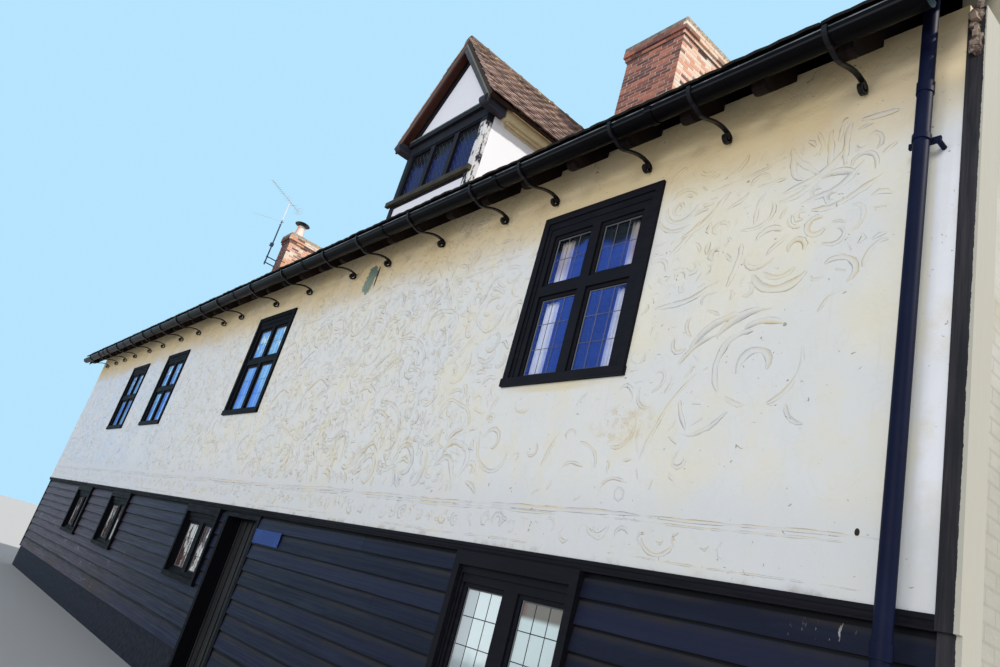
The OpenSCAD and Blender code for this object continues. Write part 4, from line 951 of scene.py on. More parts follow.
def grow(name, mesh, tree, inputs):
    """Runs a tree over a mesh and returns the result as a plain object"""
    source = new_object(name + "_source", mesh)
    modifier = source.modifiers.new("grow", "NODES")
    modifier.node_group = TREES[tree]
    by_name = {s.name: s.identifier for s in TREES[tree].interface.items_tree if s.in_out == "INPUT"}
    for label, value in inputs.items():
        modifier[by_name[label]] = value
    source.update_tag()
    ready = source.evaluated_get(bpy.context.evaluated_depsgraph_get())
    result = bpy.data.meshes.new_from_object(ready)
    result.name = name
    source.modifiers.remove(modifier)
    drop(source)
    return new_object(name, result)


def settle(piece, body=HOUSE):
    """Turns every closed shell's faces outwards, and puts the piece in its body"""
    work = bmesh.new()
    work.from_mesh(piece.data)
    bmesh.ops.recalc_face_normals(work, faces=work.faces)
    work.to_mesh(piece.data)
    work.free()
    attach(piece, body)
    return piece


def section(name, points, loose=1.0, flank=0.0):
    """A closed outline of (out, up) points that a sweep draws along its runs"""
    count = len(points)
    loose, flank = (v if hasattr(v, "__len__") else [v] * count for v in (loose, flank))
    edges = [(i, (i + 1) % count) for i in range(count)]
    return new_object(name, mesh_of(name, [(x, y, 0) for x, y in points], edges, loose=loose, flank=flank))


def swept(name, outline, shape, finish, out, step, waver=0.0, scale=2.0, seed=1, smooth=False):
    return grow(name, outline.mesh(name), "sweep", {
        "Section": shape, "Step": step, "Outward": out, "Waver": waver, "Wave Scale": scale, "Seed": seed,
        "Smooth": smooth, "Material": MATERIALS[finish]})


def scatter(name, marks, item, finish, turn, shift, seed, body=HOUSE):
    return settle(grow(name, marks.mesh(name), "scatter", {
        "Item": item, "Turn": turn, "Shift": shift, "Seed": seed, "Material": MATERIALS[finish]}), body)


def blocks(name, boxes, finish, bevel):
    """Plain boxes as (low corner, high corner), with eased edges"""
    work = bmesh.new()
    for lo, hi in boxes:
        lo, hi = Vector(map(min, lo, hi)), Vector(map(max, lo, hi))
        made = bmesh.ops.create_cube(work, size=1.0)["verts"]
        bmesh.ops.scale(work, vec=hi - lo, verts=made)
        bmesh.ops.translate(work, vec=(hi + lo) / 2, verts=made)
    bmesh.ops.bevel(work, geom=work.edges, offset=bevel, segments=2, affect="EDGES", profile=0.5)
    mesh = kept(work, name)
    mesh.materials.append(MATERIALS[finish])
    return settle(new_object(name, mesh))


def joined(name, parts):
    """Makes one object of several that share a material"""
    work = bmesh.new()
    for part in parts:
        work.from_mesh(part.data)
    mesh = kept(work, name)
    mesh.materials.append(parts[0].data.materials[0])
    drop(*parts)
    return new_object(name, mesh)


# ---------------------------------------------------------------- weatherboards
# Lower edges of the boards, from the top one down to the plinth
BOARD_EDGES = [1.933, 1.777, 1.625, 1.485, 1.336, 1.178, 1.030, 0.860, 0.680, 0.455]
BOARD_JOINT = 0.003
SHORTEST_BOARD = 0.6
# How far boards reach in under the casings of the windows
UNDER_CASING = 0.012
CORNER_BATTEN = 0.030


# The flank value runs from 0 at a board's nose to 1 at its top; the boards' finish lays painted shadow and sheen by it
def board_section(thick, rise):
    return section("board_section", [
        (0.0, 0.030), (thick * 0.40, 0.004), (thick, 0.0), (thick * 1.04, 0.010), (thick * 0.92, 0.030),
        (thick * 0.34, rise), (0.0, rise)], [0.2, 1.0, 1.0, 1.0, 0.5, 0.0, 0.0], [0.0, 0.0, 0.0, 0.05, 0.18, 1.0, 1.0])


def board_side(name, side, runs, seed):
    """Lapped boards on one side; runs gives the free stretches of the course below a level"""
    s = settings("house_boards")
    rng = random.Random(seed)
    outline = {}
    levels = [BEAM_Z] + BOARD_EDGES
    for above, z in zip(levels, levels[1:]):
        rise = round(above - z + (s.lap if above != BEAM_Z else -0.001), 3)
        for left, right in runs(above):
            u = left
            while u < right - 0.01:
                end = min(right, u + s.longest * rng.uniform(0.55, 1.0))
                if right - end < SHORTEST_BOARD:
                    end = right
                drop_by, lift = rng.uniform(-0.003, 0.003), rng.uniform(0.0, 0.003)
                ends = [side.at(end - BOARD_JOINT / 2, z + drop_by, lift),
                        side.at(u + BOARD_JOINT / 2, z + drop_by * rng.uniform(-1, 1), lift)]
                outline.setdefault(rise, Outline()).run(ends, 1.0, rng.random())
                u = end
    parts = []
    for rise, runs_at in outline.items():
        shape = board_section(s.thick, rise)
        parts.append(swept(name + "_part", runs_at, shape, "black_boards", side.out, 0.14, s.waver, 2.6, seed))
        drop(shape)
    return settle(joined(name, parts))


def cut(start, end, holes):
    """The stretches from start to end that are left between the holes"""
    runs, u = [], start
    for left, right in sorted(holes):
        if left > u:
            runs.append((u, min(left, end)))
        u = max(u, right)
    if u < end:
        runs.append((u, end))
    return [(a, b) for a, b in runs if b - a > 0.03]


def make_boards():
    def free(start, end, windows, door=()):
        """The free stretches between two ends, at the height of a course's upper edge"""
        def at_level(top):
            here = windows if top > LOW_WINDOW_Z + 0.06 else ()
            return cut(start, end, [*door, *((x + UNDER_CASING, x + LOW_WINDOW_W - UNDER_CASING) for x in here)])
        return at_level

    x, y, c = GABLE_X + JETTY, BOARD_Y, CORNER_BATTEN
    door = [(low("door_frame").x, high("door_frame").x)]
    street = free(x - 0.022, POST_X - 0.002, LOW_WINDOWS, door)
    back = free(-high("back_wall_lower").x, -x + 0.022, LOW_WINDOWS)
    gable = free(JETTY - 0.020, HOUSE_D - JETTY + 0.020, GABLE_WINDOW[:1])
    return [
        board_side("weatherboards_street", STREET_LOW, street, 3),
        board_side("weatherboards_back", BACK_LOW, back, 4),
        board_side("weatherboards_gable", GABLE_LOW, gable, 5),
        blocks("corner_battens", [
            ((x - c, y - c, 0.45), (x + 0.045, y, BEAM_Z - 0.001)),
            ((x - c, -y, 0.45), (x + 0.045, -y + c, BEAM_Z - 0.001))], "black_paint", 0.003)]


# ---------------------------------------------------------------- roofs
TILE_OVERHANG = 0.028
NARROWEST_TILE = 0.04
RIDGE_STEP, DORMER_RIDGE_STEP = 0.33, 0.32


def tile_item():
    """One plain tile with its camber; its origin is under the middle of its tail"""
    points = [(x, y, base + arch) for y in (0.0, 1.0) for base in (0.0, 1.0)
              for x, arch in ((-0.5, 0.0), (0.0, 0.30), (0.5, 0.0))]
    low_tail, top_tail, low_head, top_head = (0, 1, 2), (3, 4, 5), (6, 7, 8), (9, 10, 11)
    faces = []
    for i in (0, 1):
        faces.append((top_tail[i], top_tail[i + 1], top_head[i + 1], top_head[i]))
        faces.append((low_tail[i + 1], low_tail[i], low_head[i], low_head[i + 1]))
        faces.append((low_tail[i], low_tail[i + 1], top_tail[i + 1], top_tail[i]))
        faces.append((low_head[i + 1], low_head[i], top_head[i], top_head[i + 1]))
    faces.append((low_tail[0], top_tail[0], top_head[0], low_head[0]))
    faces.append((low_tail[2], low_head[2], top_head[2], top_tail[2]))
    return new_object("tile_item", mesh_of("tile_item", points, faces=faces))


def tile_slope(name, item, start, along, up, width, height, free, finish, seed):
    """Courses of tiles from start, the slope's lower left corner; free says where a tile may lie"""
    s = settings("house_tiles")
    start, along, up = Vector(start), Vector(along), Vector(up)
    normal = along.cross(up)
    tilt = math.atan2(2.0 * s.thick, s.long)
    turn = (Matrix((along, up, normal)).transposed() @ Matrix.Rotation(-tilt, 3, "X")).to_euler()
    marks = Marks()
    for course in range(int(height / s.gauge) + 1):
        v = -TILE_OVERHANG + course * s.gauge
        if v > height - 0.06:
            break
        u = -(course % 2) * s.width / 2
        while u < width - 0.02:
            left, right = max(u, 0.0), min(u + s.width, width)
            u += s.width
            point = start + along * (left + right) / 2 + up * v + normal * (2.0 * s.thick + 0.002)
            if right - left < NARROWEST_TILE or not free(point + up * s.gauge * 0.6):
                continue
            long = min(s.long, height - v + 0.02)
            marks.put(point, turn, ((right - left) * 0.975, long, s.thick))
    return scatter(name, marks, item, finish, 0.016, 0.004, seed)


def clear_of_stacks(p, room=0.02):
    for lo, hi in map(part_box, STACKS):
        if lo.x - room < p.x < hi.x + room and lo.y - room - 0.06 < p.y < hi.y + room + 0.06:
            return False
    return True


def make_roofs():
    item = tile_item()
    left, right = low("roof_front").x + VERGE_GAP, END_X - VERGE_GAP
    rise = (math.cos(ROOF_PITCH), math.sin(ROOF_PITCH))
    height = -EAVE_Y / rise[0]
    reach = (high("dormer_roof").x - low("dormer_roof").x) / 2
    front = low("dormer_frame").y + 0.03

    def free_street(p):
        """Clear of the stacks, of the dormer's body and of its eaves"""
        aside = abs(p.x - DORMER_X)
        here, dormer = roof_z(p.y), DORMER_RIDGE - aside * DORMER_SLOPE
        under = p.y > front and here < dormer + 0.02
        return clear_of_stacks(p) and not (under and (aside < DORMER_HALF or (aside < reach and here > dormer - 0.16)))

    def free_dormer(p):
        return roof_z(p.y) < p.z + 0.03

    pieces = [
        tile_slope("tiles_street", item, (left, EAVE_Y, EAVE_Z), (1, 0, 0), (0, *rise), right - left, height,
                   free_street, "clay_tile", 21),
        tile_slope("tiles_back", item, (right, -EAVE_Y, EAVE_Z), (-1, 0, 0), (0, -rise[0], rise[1]), right - left,
                   height, clear_of_stacks, "clay_tile", 22)]
    pitch = math.atan(DORMER_SLOPE)
    eave = DORMER_RIDGE - reach * DORMER_SLOPE
    depth = high("dormer_roof").y - DORMER_FRONT
    for name, way, start_y, seed in (("right", 1, DORMER_FRONT, 23), ("left", -1, DORMER_FRONT + depth, 24)):
        pieces.append(tile_slope(
            "tiles_dormer_" + name, item, (DORMER_X + way * reach, start_y, eave), (0, way, 0),
            (-way * math.cos(pitch), 0, math.sin(pitch)), depth, reach / math.cos(pitch), free_dormer,
            "dormer_tile", seed))
    drop(item)
    return pieces + make_ridges()


def make_ridges():
    """Joints of the half round ridge tiles, as low collars of mortar"""
    main, dormer = Marks(), Marks()
    lo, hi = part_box("ridge_tiles")
    radius = (hi.y - lo.y) / 2
    x = lo.x + 0.32
    while x < hi.x - 0.05:
        if clear_of_stacks(Vector((x, 0, 0)), 0.05):
            main.put((x, 0, hi.z - radius + 0.002), (0, 0, 0), (1, radius / 0.11, radius / 0.11))
        x += RIDGE_STEP
    lo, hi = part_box("dormer_ridge")
    y = lo.y + 0.30
    while y < hi.y - 0.1:
        dormer.put((DORMER_X, y, hi.z - 0.088), (0, 0, math.pi / 2), (1, 0.82, 0.82))
        y += DORMER_RIDGE_STEP
    item = ridge_collar()
    pieces = [scatter("ridge_joints", main, item, "ridge_clay", 0.01, 0.002, 31),
              scatter("dormer_ridge_joints", dormer, item, "ridge_clay", 0.01, 0.002, 32)]
    drop(item)
    return pieces


def ridge_collar():
    """Half a ring round the ridge, bevelled at its edges and closed at its feet"""
    outer, inner, half, count = 0.118, 0.104, 0.026, 12
    rim = ((-half, inner), (-half * 0.6, outer), (half * 0.6, outer), (half, inner))
    angles = [math.radians(4 + 172 * i / count) for i in range(count + 1)]
    points = [(x, r * math.cos(a), r * math.sin(a)) for a in angles for x, r in rim]
    faces = []
    for i in range(count):
        for k in range(4):
            a, b = 4 * i + k, 4 * i + (k + 1) % 4
            faces.append((a, b, b + 4, a + 4))
    faces += [(3, 2, 1, 0), tuple(4 * count + k for k in range(4))]
    return new_object("ridge_collar", mesh_of("ridge_collar", points, faces=faces))


# ---------------------------------------------------------------- chimneys
def lay_ring(marks, lo, hi, z, odd):
    """One course of bricks round a rectangle, half a brick on from the course below it"""
    s = settings("house_bricks")
    rim = 2 * s.deep + s.joint - s.proud
    sides = (("x", lo.y, 1, lo.x, hi.x), ("x", hi.y, -1, lo.x, hi.x),
             ("y", lo.x, 1, lo.y, hi.y), ("y", hi.x, -1, lo.y, hi.y))
    for axis, fixed, inward, a, b in sides:
        takes = (axis == "x") == odd  # whether this side's bricks run round the corners
        u, last = (a - s.proud, b + s.proud) if takes else (a + rim, b - rim)
        while u < last - 0.02:
            end = min(u + s.long, last)
            if last - end < SHORTEST_BRICK:
                end = last
            left, right = u + s.joint / 2, end - s.joint / 2
            if takes:
                left, right = (u if u < a else left), (end if end == last else right)
            centre = fixed + inward * (s.deep - s.proud)
            middle, size = (left + right) / 2, (right - left, 2 * s.deep, s.course - s.joint)
            u = end
            spot = (middle, centre, z) if axis == "x" else (centre, middle, z)
            marks.put(Vector(spot) + Vector((0, 0, s.course / 2)), (0, 0, 0 if axis == "x" else math.pi / 2), size)


def brick_item():
    """A block with eased edges"""
    work = bmesh.new()
    bmesh.ops.create_cube(work, size=1.0)
    bmesh.ops.bevel(work, geom=work.edges, offset=0.03, segments=1, affect="EDGES")
    return new_object("brick_item", kept(work, "brick_item"))


# Least length of the last brick of a course
SHORTEST_BRICK = 0.07
# Box of the broken masonry at the upper end of the corner post: across, into the wall, up
RUBBLE = ((10.335, 10.368), (-3.10, -3.06), (5.04, 5.38))
RUBBLE_SIZES = ((0.02, 0.035), (0.04, 0.08), (0.02, 0.05))
RUBBLE_COUNT = 26
# How far each course of a cap stands out past the one below it
CAP_STEP = 0.028


def make_chimneys():
    s = settings("house_bricks")
    item = brick_item()
    pieces = []
    for name, finish, seed in zip(STACKS, ("brick_face", "small_brick_face"), (41, 42)):
        marks = Marks()
        lo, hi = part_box(name)
        foot = roof_z(lo.y) - 0.10
        for k in range(int((hi.z - foot) / s.course)):
            lay_ring(marks, lo, hi, hi.z - (k + 1) * s.course, k % 2 == 0)
        for k, (out, odd) in enumerate(((1, False), (2, True), (2, False))):
            step = Vector((1, 1, 0)) * out * CAP_STEP
            lay_ring(marks, lo - step, hi + step, hi.z + k * s.course, odd)
        pieces.append(scatter(name + "_bricks", marks, item, finish, 0.003, 0.0006, seed))
    lumps = Marks()
    rng = random.Random(17)
    for _ in range(RUBBLE_COUNT):
        p = [rng.uniform(*ends) for ends in RUBBLE]
        lumps.put(p, [rng.uniform(-0.5, 0.5) for _ in range(3)], [rng.uniform(*ends) for ends in RUBBLE_SIZES])
    pieces.append(scatter("wall_end_rubble", lumps, item, "rubble", 0.1, 0.001, 43))
    drop(item)
    return pieces + [make_fillets()]


def make_fillets():
    """Mortar where the stacks meet the roof"""
    outline = Outline()
    for lo, hi in map(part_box, STACKS):
        for x, way in ((lo.x, -1), (hi.x, 1)):
            for y, side in ((lo.y, -1), (hi.y, 1)):
                outline.run([(x + way * 0.012, y + side * 0.01, roof_z(y) + 0.03),
                             (x + way * 0.012, side * 0.10, roof_z(0.10) + 0.03)])
        for y, way in ((lo.y, -1), (hi.y, 1)):
            outline.run([(x, y + way * 0.015, roof_z(y) + 0.035) for x in (lo.x - 0.03, hi.x + 0.03)])
    shape = section("fillet_section", [(-0.05, -0.05), (0.045, -0.045), (0.055, 0.02), (0.02, 0.05), (-0.04, 0.045)])
    fillets = swept("chimney_fillets", outline, shape, "mortar_fillet", (0, 0, 1), 0.06, 0.014, 9.0, 7, True)
    drop(shape)
    return settle(fillets)


# ---------------------------------------------------------------- pargeting
BEAD = [(-0.10, -2.0), (0.20, -1.0), (0.40, 0.0), (0.20, 1.0), (-0.10, 2.0)]
# How much painted shade each point of the section takes, most on one flank
BEAD_FLANK = [0.6, 1.0, 0.25, 0.0, 0.1]
# The wall that scrolls may cover, and the cells in which their points are kept
FIELD_RIGHT = 9.98
FIELD_FOOT = 2.50
FIELD_TOP = 5.0
CELL = 0.05
# Length of a straight bit of a stem, and the tightest radius of its curl
STROKE = 0.022
TIGHTEST = 0.022

# Arcs as middle, radius, first and last angle and weight. First the great scroll at the right, broken up
GREAT_SCROLL = (
    (9.30, 3.36, 0.265, 60, 118, 0.95), (9.29, 3.35, 0.272, 128, 214, 1.1),
    (9.30, 3.36, 0.268, -70, 20, 0.75), (9.29, 3.36, 0.262, 226, 262, 0.8))
ROUND_SCROLL = (
    (9.22, 3.38, 0.19, 84, 150, 0.7), (9.27, 3.36, 0.345, 78, 146, 1.2),
    (9.12, 3.33, 0.36, 84, 150, 1.3), (9.05, 3.22, 0.36, 100, 150, 0.8))
# The smile, the rings above it and the brow
SMILE = (
    (9.36, 4.02, 0.20, 200, 325, 1.35), (9.35, 4.03, 0.13, 215, 320, 0.9), (9.44, 4.08, 0.055, -30, 200, 0.9),
    (9.55, 4.20, 0.060, 60, 330, 1.0), (9.25, 4.16, 0.10, 40, 160, 0.9), (9.60, 4.28, 0.27, 56, 128, 1.0))
# Small loops among the stems under the brow, then the ring beside the window
LOOPS = (
    (9.52, 4.44, 0.035, 30, 300, 1.0), (9.62, 4.38, 0.035, 30, 300, 1.0), (9.44, 4.30, 0.035, 30, 300, 1.0),
    (8.51, 4.64, 0.130, 20, 150, 0.8), (8.51, 4.64, 0.135, 170, 350, 0.9), (8.51, 4.64, 0.205, 200, 300, 0.7))
# Swept petals and stems, as start, heading and bend, then the small group as place and radius
PETALS = ((9.42, 4.56, 1.9, -3.4), (9.52, 4.57, 1.6, -2.6), (9.60, 4.57, 1.3, -3.2), (9.68, 4.58, 1.0, -2.4))
STEMS = ((9.30, 4.50, 0.1), (9.28, 4.44, 0.0), (9.42, 4.38, 0.15), (9.50, 4.32, -0.2))
BLOOMS = ((8.62, 4.05, 0.05), (8.57, 4.13, 0.035), (8.70, 4.10, 0.04), (8.88, 4.16, 0.05), (8.83, 4.06, 0.035),
          (8.94, 4.24, 0.03), (8.66, 3.96, 0.03))
STALKS = ((8.45, 3.84, -0.1, 0.5), (8.55, 4.36, 0.4, 0.45), (8.48, 4.24, 0.5, 0.3), (9.0, 3.9, 1.2, 0.3))
# Stretches that a seeded rule fills, as left, right, density, size, curl and foot
FIELDS = (
    (1.98, 7.0, 1.0, 1.0, 4.0, 2.52), (-2.6, 0.62, 0.5, 0.95, 4.0, 2.52), (-5.2, -3.9, 0.5, 0.95, 4.0, 2.52),
    (-10.3, -6.5, 0.4, 0.95, 4.0, 2.52), (8.35, 9.9, 0.60, 0.85, 4.0, 3.85), (8.35, 9.0, 0.20, 0.70, 3.0, 2.52),
    (6.9, 8.4, 0.06, 0.6, 0.0, 2.52))


class Pargeting:
    """Scrolls, stems and rings drawn on the street front"""

    def __init__(self, seed):
        self.outline = Outline()
        self.rng = random.Random(seed)
        self.size = settings("house_plaster").relief
        self.taken = {}

    def line(self, points, size=1.0):
        """Points are (x, z); the bead thins towards both ends"""
        last = len(points) - 1
        sizes = []
        for i in range(last + 1):
            t = i / last
            ends = min(1.0, 0.30 + 4.0 * min(t, 1 - t))
            sizes.append(self.size * size * ends * self.rng.uniform(0.7, 1.2))
        self.outline.run([STREET.at(x, z) for x, z in points], sizes, self.rng.random())
        for x, z in points:
            self.taken.setdefault(self.cell(x, z), []).append((x, z))

    def arcs(self, rows):
        for x, z, radius, start, end, size in rows:
            count = max(5, int(abs(end - start) / 11))
            angles = [math.radians(start + (end - start) * i / count) for i in range(count + 1)]
            self.line([(x + radius * math.cos(a), z + radius * math.sin(a)) for a in angles], size)

    def spiral(self, x, z, outer, inner, start, turns, hand, size):
        count = max(10, int(turns * 26))
        points = []
        for i in range(count + 1):
            t = i / count
            r = outer + (inner - outer) * t ** 0.8
            a = math.radians(start) + hand * turns * 2 * math.pi * t
            points.append((x + r * math.cos(a), z + r * math.sin(a)))
        self.line(points, size)

    def free(self, x, z, room):
        """Whether a spot is on plain wall"""
        top = FIELD_TOP if x < 8.5 else FIELD_TOP - 0.08
        if not (GABLE_X + 0.10 + room < x < FIELD_RIGHT - room and FIELD_FOOT < z - room and z < top - room):
            return False
        return not any(left - 0.03 - room < x < left + wide + 0.03 + room
                       and sill - 0.05 - room < z < sill + tall + 0.03 + room
                       for left, sill, wide, tall in UPPER_WINDOWS)

    def cell(self, x, z):
        return int(math.floor(x / CELL)), int(math.floor(z / CELL))

    def crowded(self, x, z, room):
        i, k = self.cell(x, z)
        reach = int(room / CELL) + 1
        return any((px - x) ** 2 + (pz - z) ** 2 < room * room
                   for a in range(i - reach, i + reach + 1) for b in range(k - reach, k + reach + 1)
                   for px, pz in self.taken.get((a, b), ()))

    def wander(self, x, z, heading, long, bend, curl, room, size):
        """A stem that sways from x, z and may end in a curl; it stops short of what is there already"""
        rng = self.rng
        points, walked, step = [(x, z)], 0.0, STROKE
        sway, phase = rng.uniform(0.6, 1.8), rng.uniform(0, 6.3)
        while walked < long:
            heading += step * bend * (1 + sway * math.sin(phase + 19.0 * walked))
            x, z = x + step * math.cos(heading), z + step * math.sin(heading)
            if not self.free(x, z, 0.0) or self.crowded(x, z, room):
                break
            points.append((x, z))
            walked += step
        turned, radius = 0.0, 1.0 / max(abs(bend), 1.0)
        while curl and turned < curl:
            radius = max(TIGHTEST, radius * 0.93)
            angle = step / radius
            heading += math.copysign(angle, bend)
            turned += angle
            x, z = x + step * math.cos(heading), z + step * math.sin(heading)
            if not self.free(x, z, 0.0) or self.crowded(x, z, room * 0.7):
                break
            points.append((x, z))
        if len(points) >= 4:
            self.line(points, size)

    def field(self, left, right, density, size, curls, foot):
        """Fills the wall between left and right: long swaying stems first, then curls, then short strokes"""
        rng = self.rng
        area = (right - left) * 2.5 * density
        kinds = ((int(area * 6), (0.20, 0.50), (0.5, 5.0), curls * 0.7, 0.056, 0.95),
                 (int(area * 170), (0.05, 0.17), (3.0, 18.0), 2.6, 0.044, 0.90),
                 (int(area * 330), (0.04, 0.10), (1.0, 16.0), 0.0, 0.036, 0.75))
        for tries, longs, bends, curl, room, weight in kinds:
            for _ in range(tries):
                x, z = rng.uniform(left, right), rng.uniform(foot, FIELD_TOP - 0.02)
                if not self.free(x, z, 0.02) or self.crowded(x, z, room):
                    continue
                heading = rng.choice((0.0, 0.3, 0.9, 1.3, 2.0, 2.7)) + rng.uniform(-0.35, 0.35)
                self.wander(x, z, heading + rng.choice((0.0, math.pi)), rng.uniform(*longs),
                            rng.choice((-1, 1)) * rng.uniform(*bends), curl * rng.uniform(0.5, 1.1), room,
                            size * weight * rng.uniform(0.75, 1.15))


def make_pargeting():
    s = settings("house_plaster")
    p = Pargeting(s.seed)
    p.arcs(GREAT_SCROLL)
    p.spiral(9.290, 3.345, 0.125, 0.075, 200, 0.62, -1, 1.15)
    p.arcs(ROUND_SCROLL)
    p.line([(9.15, 3.07), (9.05, 2.98), (8.93, 2.93), (8.84, 2.95)], 0.7)
    p.arcs([(9.62, 3.10, 0.115, 180, 270, 0.7)])
    p.line([(9.62, 3.63), (9.67, 3.71), (9.75, 3.74)], 0.7)
    p.arcs(SMILE)
    for x, z, heading, bend in PETALS:
        p.wander(x, z, heading + 0.9, 0.30, bend, 0.0, 0.0, 1.0)
    for x, z, heading in STEMS:
        p.wander(x, z, heading, 0.42, 2.0, 0.0, 0.0, 1.0)
    p.arcs(LOOPS)
    for x, z, radius in BLOOMS:
        start = p.rng.uniform(0, 360)
        p.arcs([(x, z, radius, start, start + p.rng.uniform(150, 260), 1.0)])
    for x, z, heading, long in STALKS:
        p.wander(x, z, heading, long, 1.5, 0.0, 0.0, 0.95)
    # soft scrolls low on the middle of the wall, then strokes under the eaves and upright stems
    for i in range(15):
        x = 2.1 + 0.33 * i + p.rng.uniform(-0.06, 0.06)
        p.wander(x, p.rng.uniform(2.58, 2.85), p.rng.uniform(0.5, 2.2), 0.42, (5.5, -5.0)[i % 2], 3.4, 0.06, 1.3)
    for i in range(26):
        x, z = p.rng.uniform(1.0, 9.3), p.rng.uniform(4.55, 4.93)
        p.wander(x, z, p.rng.uniform(-0.15, 0.15), p.rng.uniform(0.3, 0.9), 0.6, 0.0, 0.03, 0.55)
    for i in range(12):
        x, z = p.rng.uniform(2.3, 6.6), p.rng.uniform(3.4, 4.2)
        p.wander(x, z, p.rng.uniform(1.1, 2.0), p.rng.uniform(0.4, 0.8), p.rng.choice((-3.0, 3.0)), 2.0, 0.05, 1.15)
    for stretch in FIELDS:
        p.field(*stretch)
    make_frieze(p)
    shape = section("bead_section", BEAD, 1.0, BEAD_FLANK)
    beads = swept("pargeting", p.outline, shape, "pargeting", (0, -1, 0), 0.034, 0.006, 11.0, s.seed, True)
    drop(shape)
    return [settle(beads)]


def make_frieze(p):
    """Rules above the jetty, with short worn strokes between them"""
    left, right, rng = GABLE_X + 0.06, 10.05, p.rng
    for z, size in ((2.437, 0.85), (2.405, 0.5), (2.200, 0.35)):
        x = left
        while x < right:
            end = min(right, x + rng.uniform(1.2, 3.5))
            count = max(2, int((end - x) / 0.12))
            us = [x + (end - x) * i / count for i in range(count + 1)]
            p.line([(u, z + 0.006 * math.sin(u * 1.7) + 0.004 * math.sin(u * 5.1 + z)) for u in us],
                   size * rng.uniform(0.75, 1.1) * (0.62 if x > 7.6 else 1.0))
            x = end + (0.0 if size > 0.5 else rng.uniform(0.1, 1.0))
    x = left + 0.1
    while x < 9.3:
        size = 1.25 if x < 6.0 else 1.0 if x < 7.4 else 0.5
        z, way = 2.312 + rng.uniform(-0.03, 0.03), rng.choice((-1, 1))
        radius = rng.uniform(0.030, 0.055)
        start = rng.uniform(0, 360)
        p.arcs([(x, z, radius, start, start + way * rng.uniform(130, 270), size * rng.uniform(0.7, 1.1))])
        for _ in range(3 if x < 7.4 else 0):
            a, reach = rng.uniform(-1.3, 1.3), rng.uniform(0.03, 0.07)
            u, w = x + rng.uniform(-0.02, 0.10), z + rng.uniform(-0.035, 0.035)
            bend = rng.uniform(-1.2, 1.2)
            p.line([(u + reach * t * math.cos(a + bend * t), w + reach * t * math.sin(a + bend * t))
                    for t in (0.0, 0.35, 0.7, 1.0)], size * rng.uniform(0.6, 0.95))
        x += rng.uniform(0.11, 0.20)
    p.arcs([(8.35, 2.40, 0.10, 200, 340, 0.8), (8.83, 2.36, 0.13, 200, 330, 0.7)])


# ---------------------------------------------------------------- windows
LEAD_THICK = 0.0035


def upper_lights(w):
    """The four lights of an upper window as (left, right, foot, head)"""
    left, sill, wide, tall = w
    x0, x1 = left + UPPER_SIDE, left + wide - UPPER_SIDE
    z0, z1 = sill + UPPER_FOOT, sill + tall - UPPER_HEAD
    middle = left + wide / 2
    transom = z1 - UPPER_TOP_LIGHT - UPPER_HALF_BAR
    rows = ((z0, transom - UPPER_HALF_BAR), (transom + UPPER_HALF_BAR, z1))
    return [(a, b, c, d) for c, d in rows for a, b in
            ((x0, middle - UPPER_HALF_BAR), (middle + UPPER_HALF_BAR, x1))]


def low_lights(x):
    middle = x + LOW_WINDOW_W / 2
    return [(x + LOW_SIDE, middle - LOW_HALF_BAR, *LOW_GLASS_Z),
            (middle + LOW_HALF_BAR, x + LOW_WINDOW_W - LOW_SIDE, *LOW_GLASS_Z)]


def lead_light(side, leads, edges, light, depth, across, up):
    """Leads and a metal edge on one light, just proud of the glass"""
    a, b, c, d = light
    h = settings("house_windows").edge / 2
    upright = [a + (b - a) * i / across for i in range(1, across)]
    level = [c + (d - c) * share for share in up]
    for outline, xs, zs in ((leads, upright, level), (edges, (), (c + h, d - h)), (edges, (a + h, b - h), ())):
        for x in xs:
            outline.run([side.at(x, c, -depth), side.at(x, d, -depth)])
        for z in zs:
            outline.run([side.at(a, z, -depth), side.at(b, z, -depth)])


def diamond_leads(leads, light, y, pitch_x, pitch_z):
    a, b, c, d = light
    count = int((b - a) / pitch_x + (d - c) / pitch_z) + 2
    for way in (1, -1):
        slope = way * pitch_x / pitch_z
        for i in range(-count, count + 1):
            base = (a if way > 0 else b) + way * i * pitch_x
            ts = [0.0, d - c]
            ts += [t for t in ((edge - base) / slope for edge in (a, b)) if 0 < t < d - c]
            inside = [t for t in sorted(ts) if a - 1e-6 <= base + slope * t <= b + 1e-6]
            if len(inside) >= 2 and inside[-1] - inside[0] > 0.02:
                leads.run([(base + slope * t, y, c + t) for t in (inside[0], inside[-1])])


def flat_section(name, half, thick):
    return section(name, [(0.0, -half), (thick * 0.7, -half * 0.8), (thick, 0), (thick * 0.7, half * 0.8), (0.0, half)])


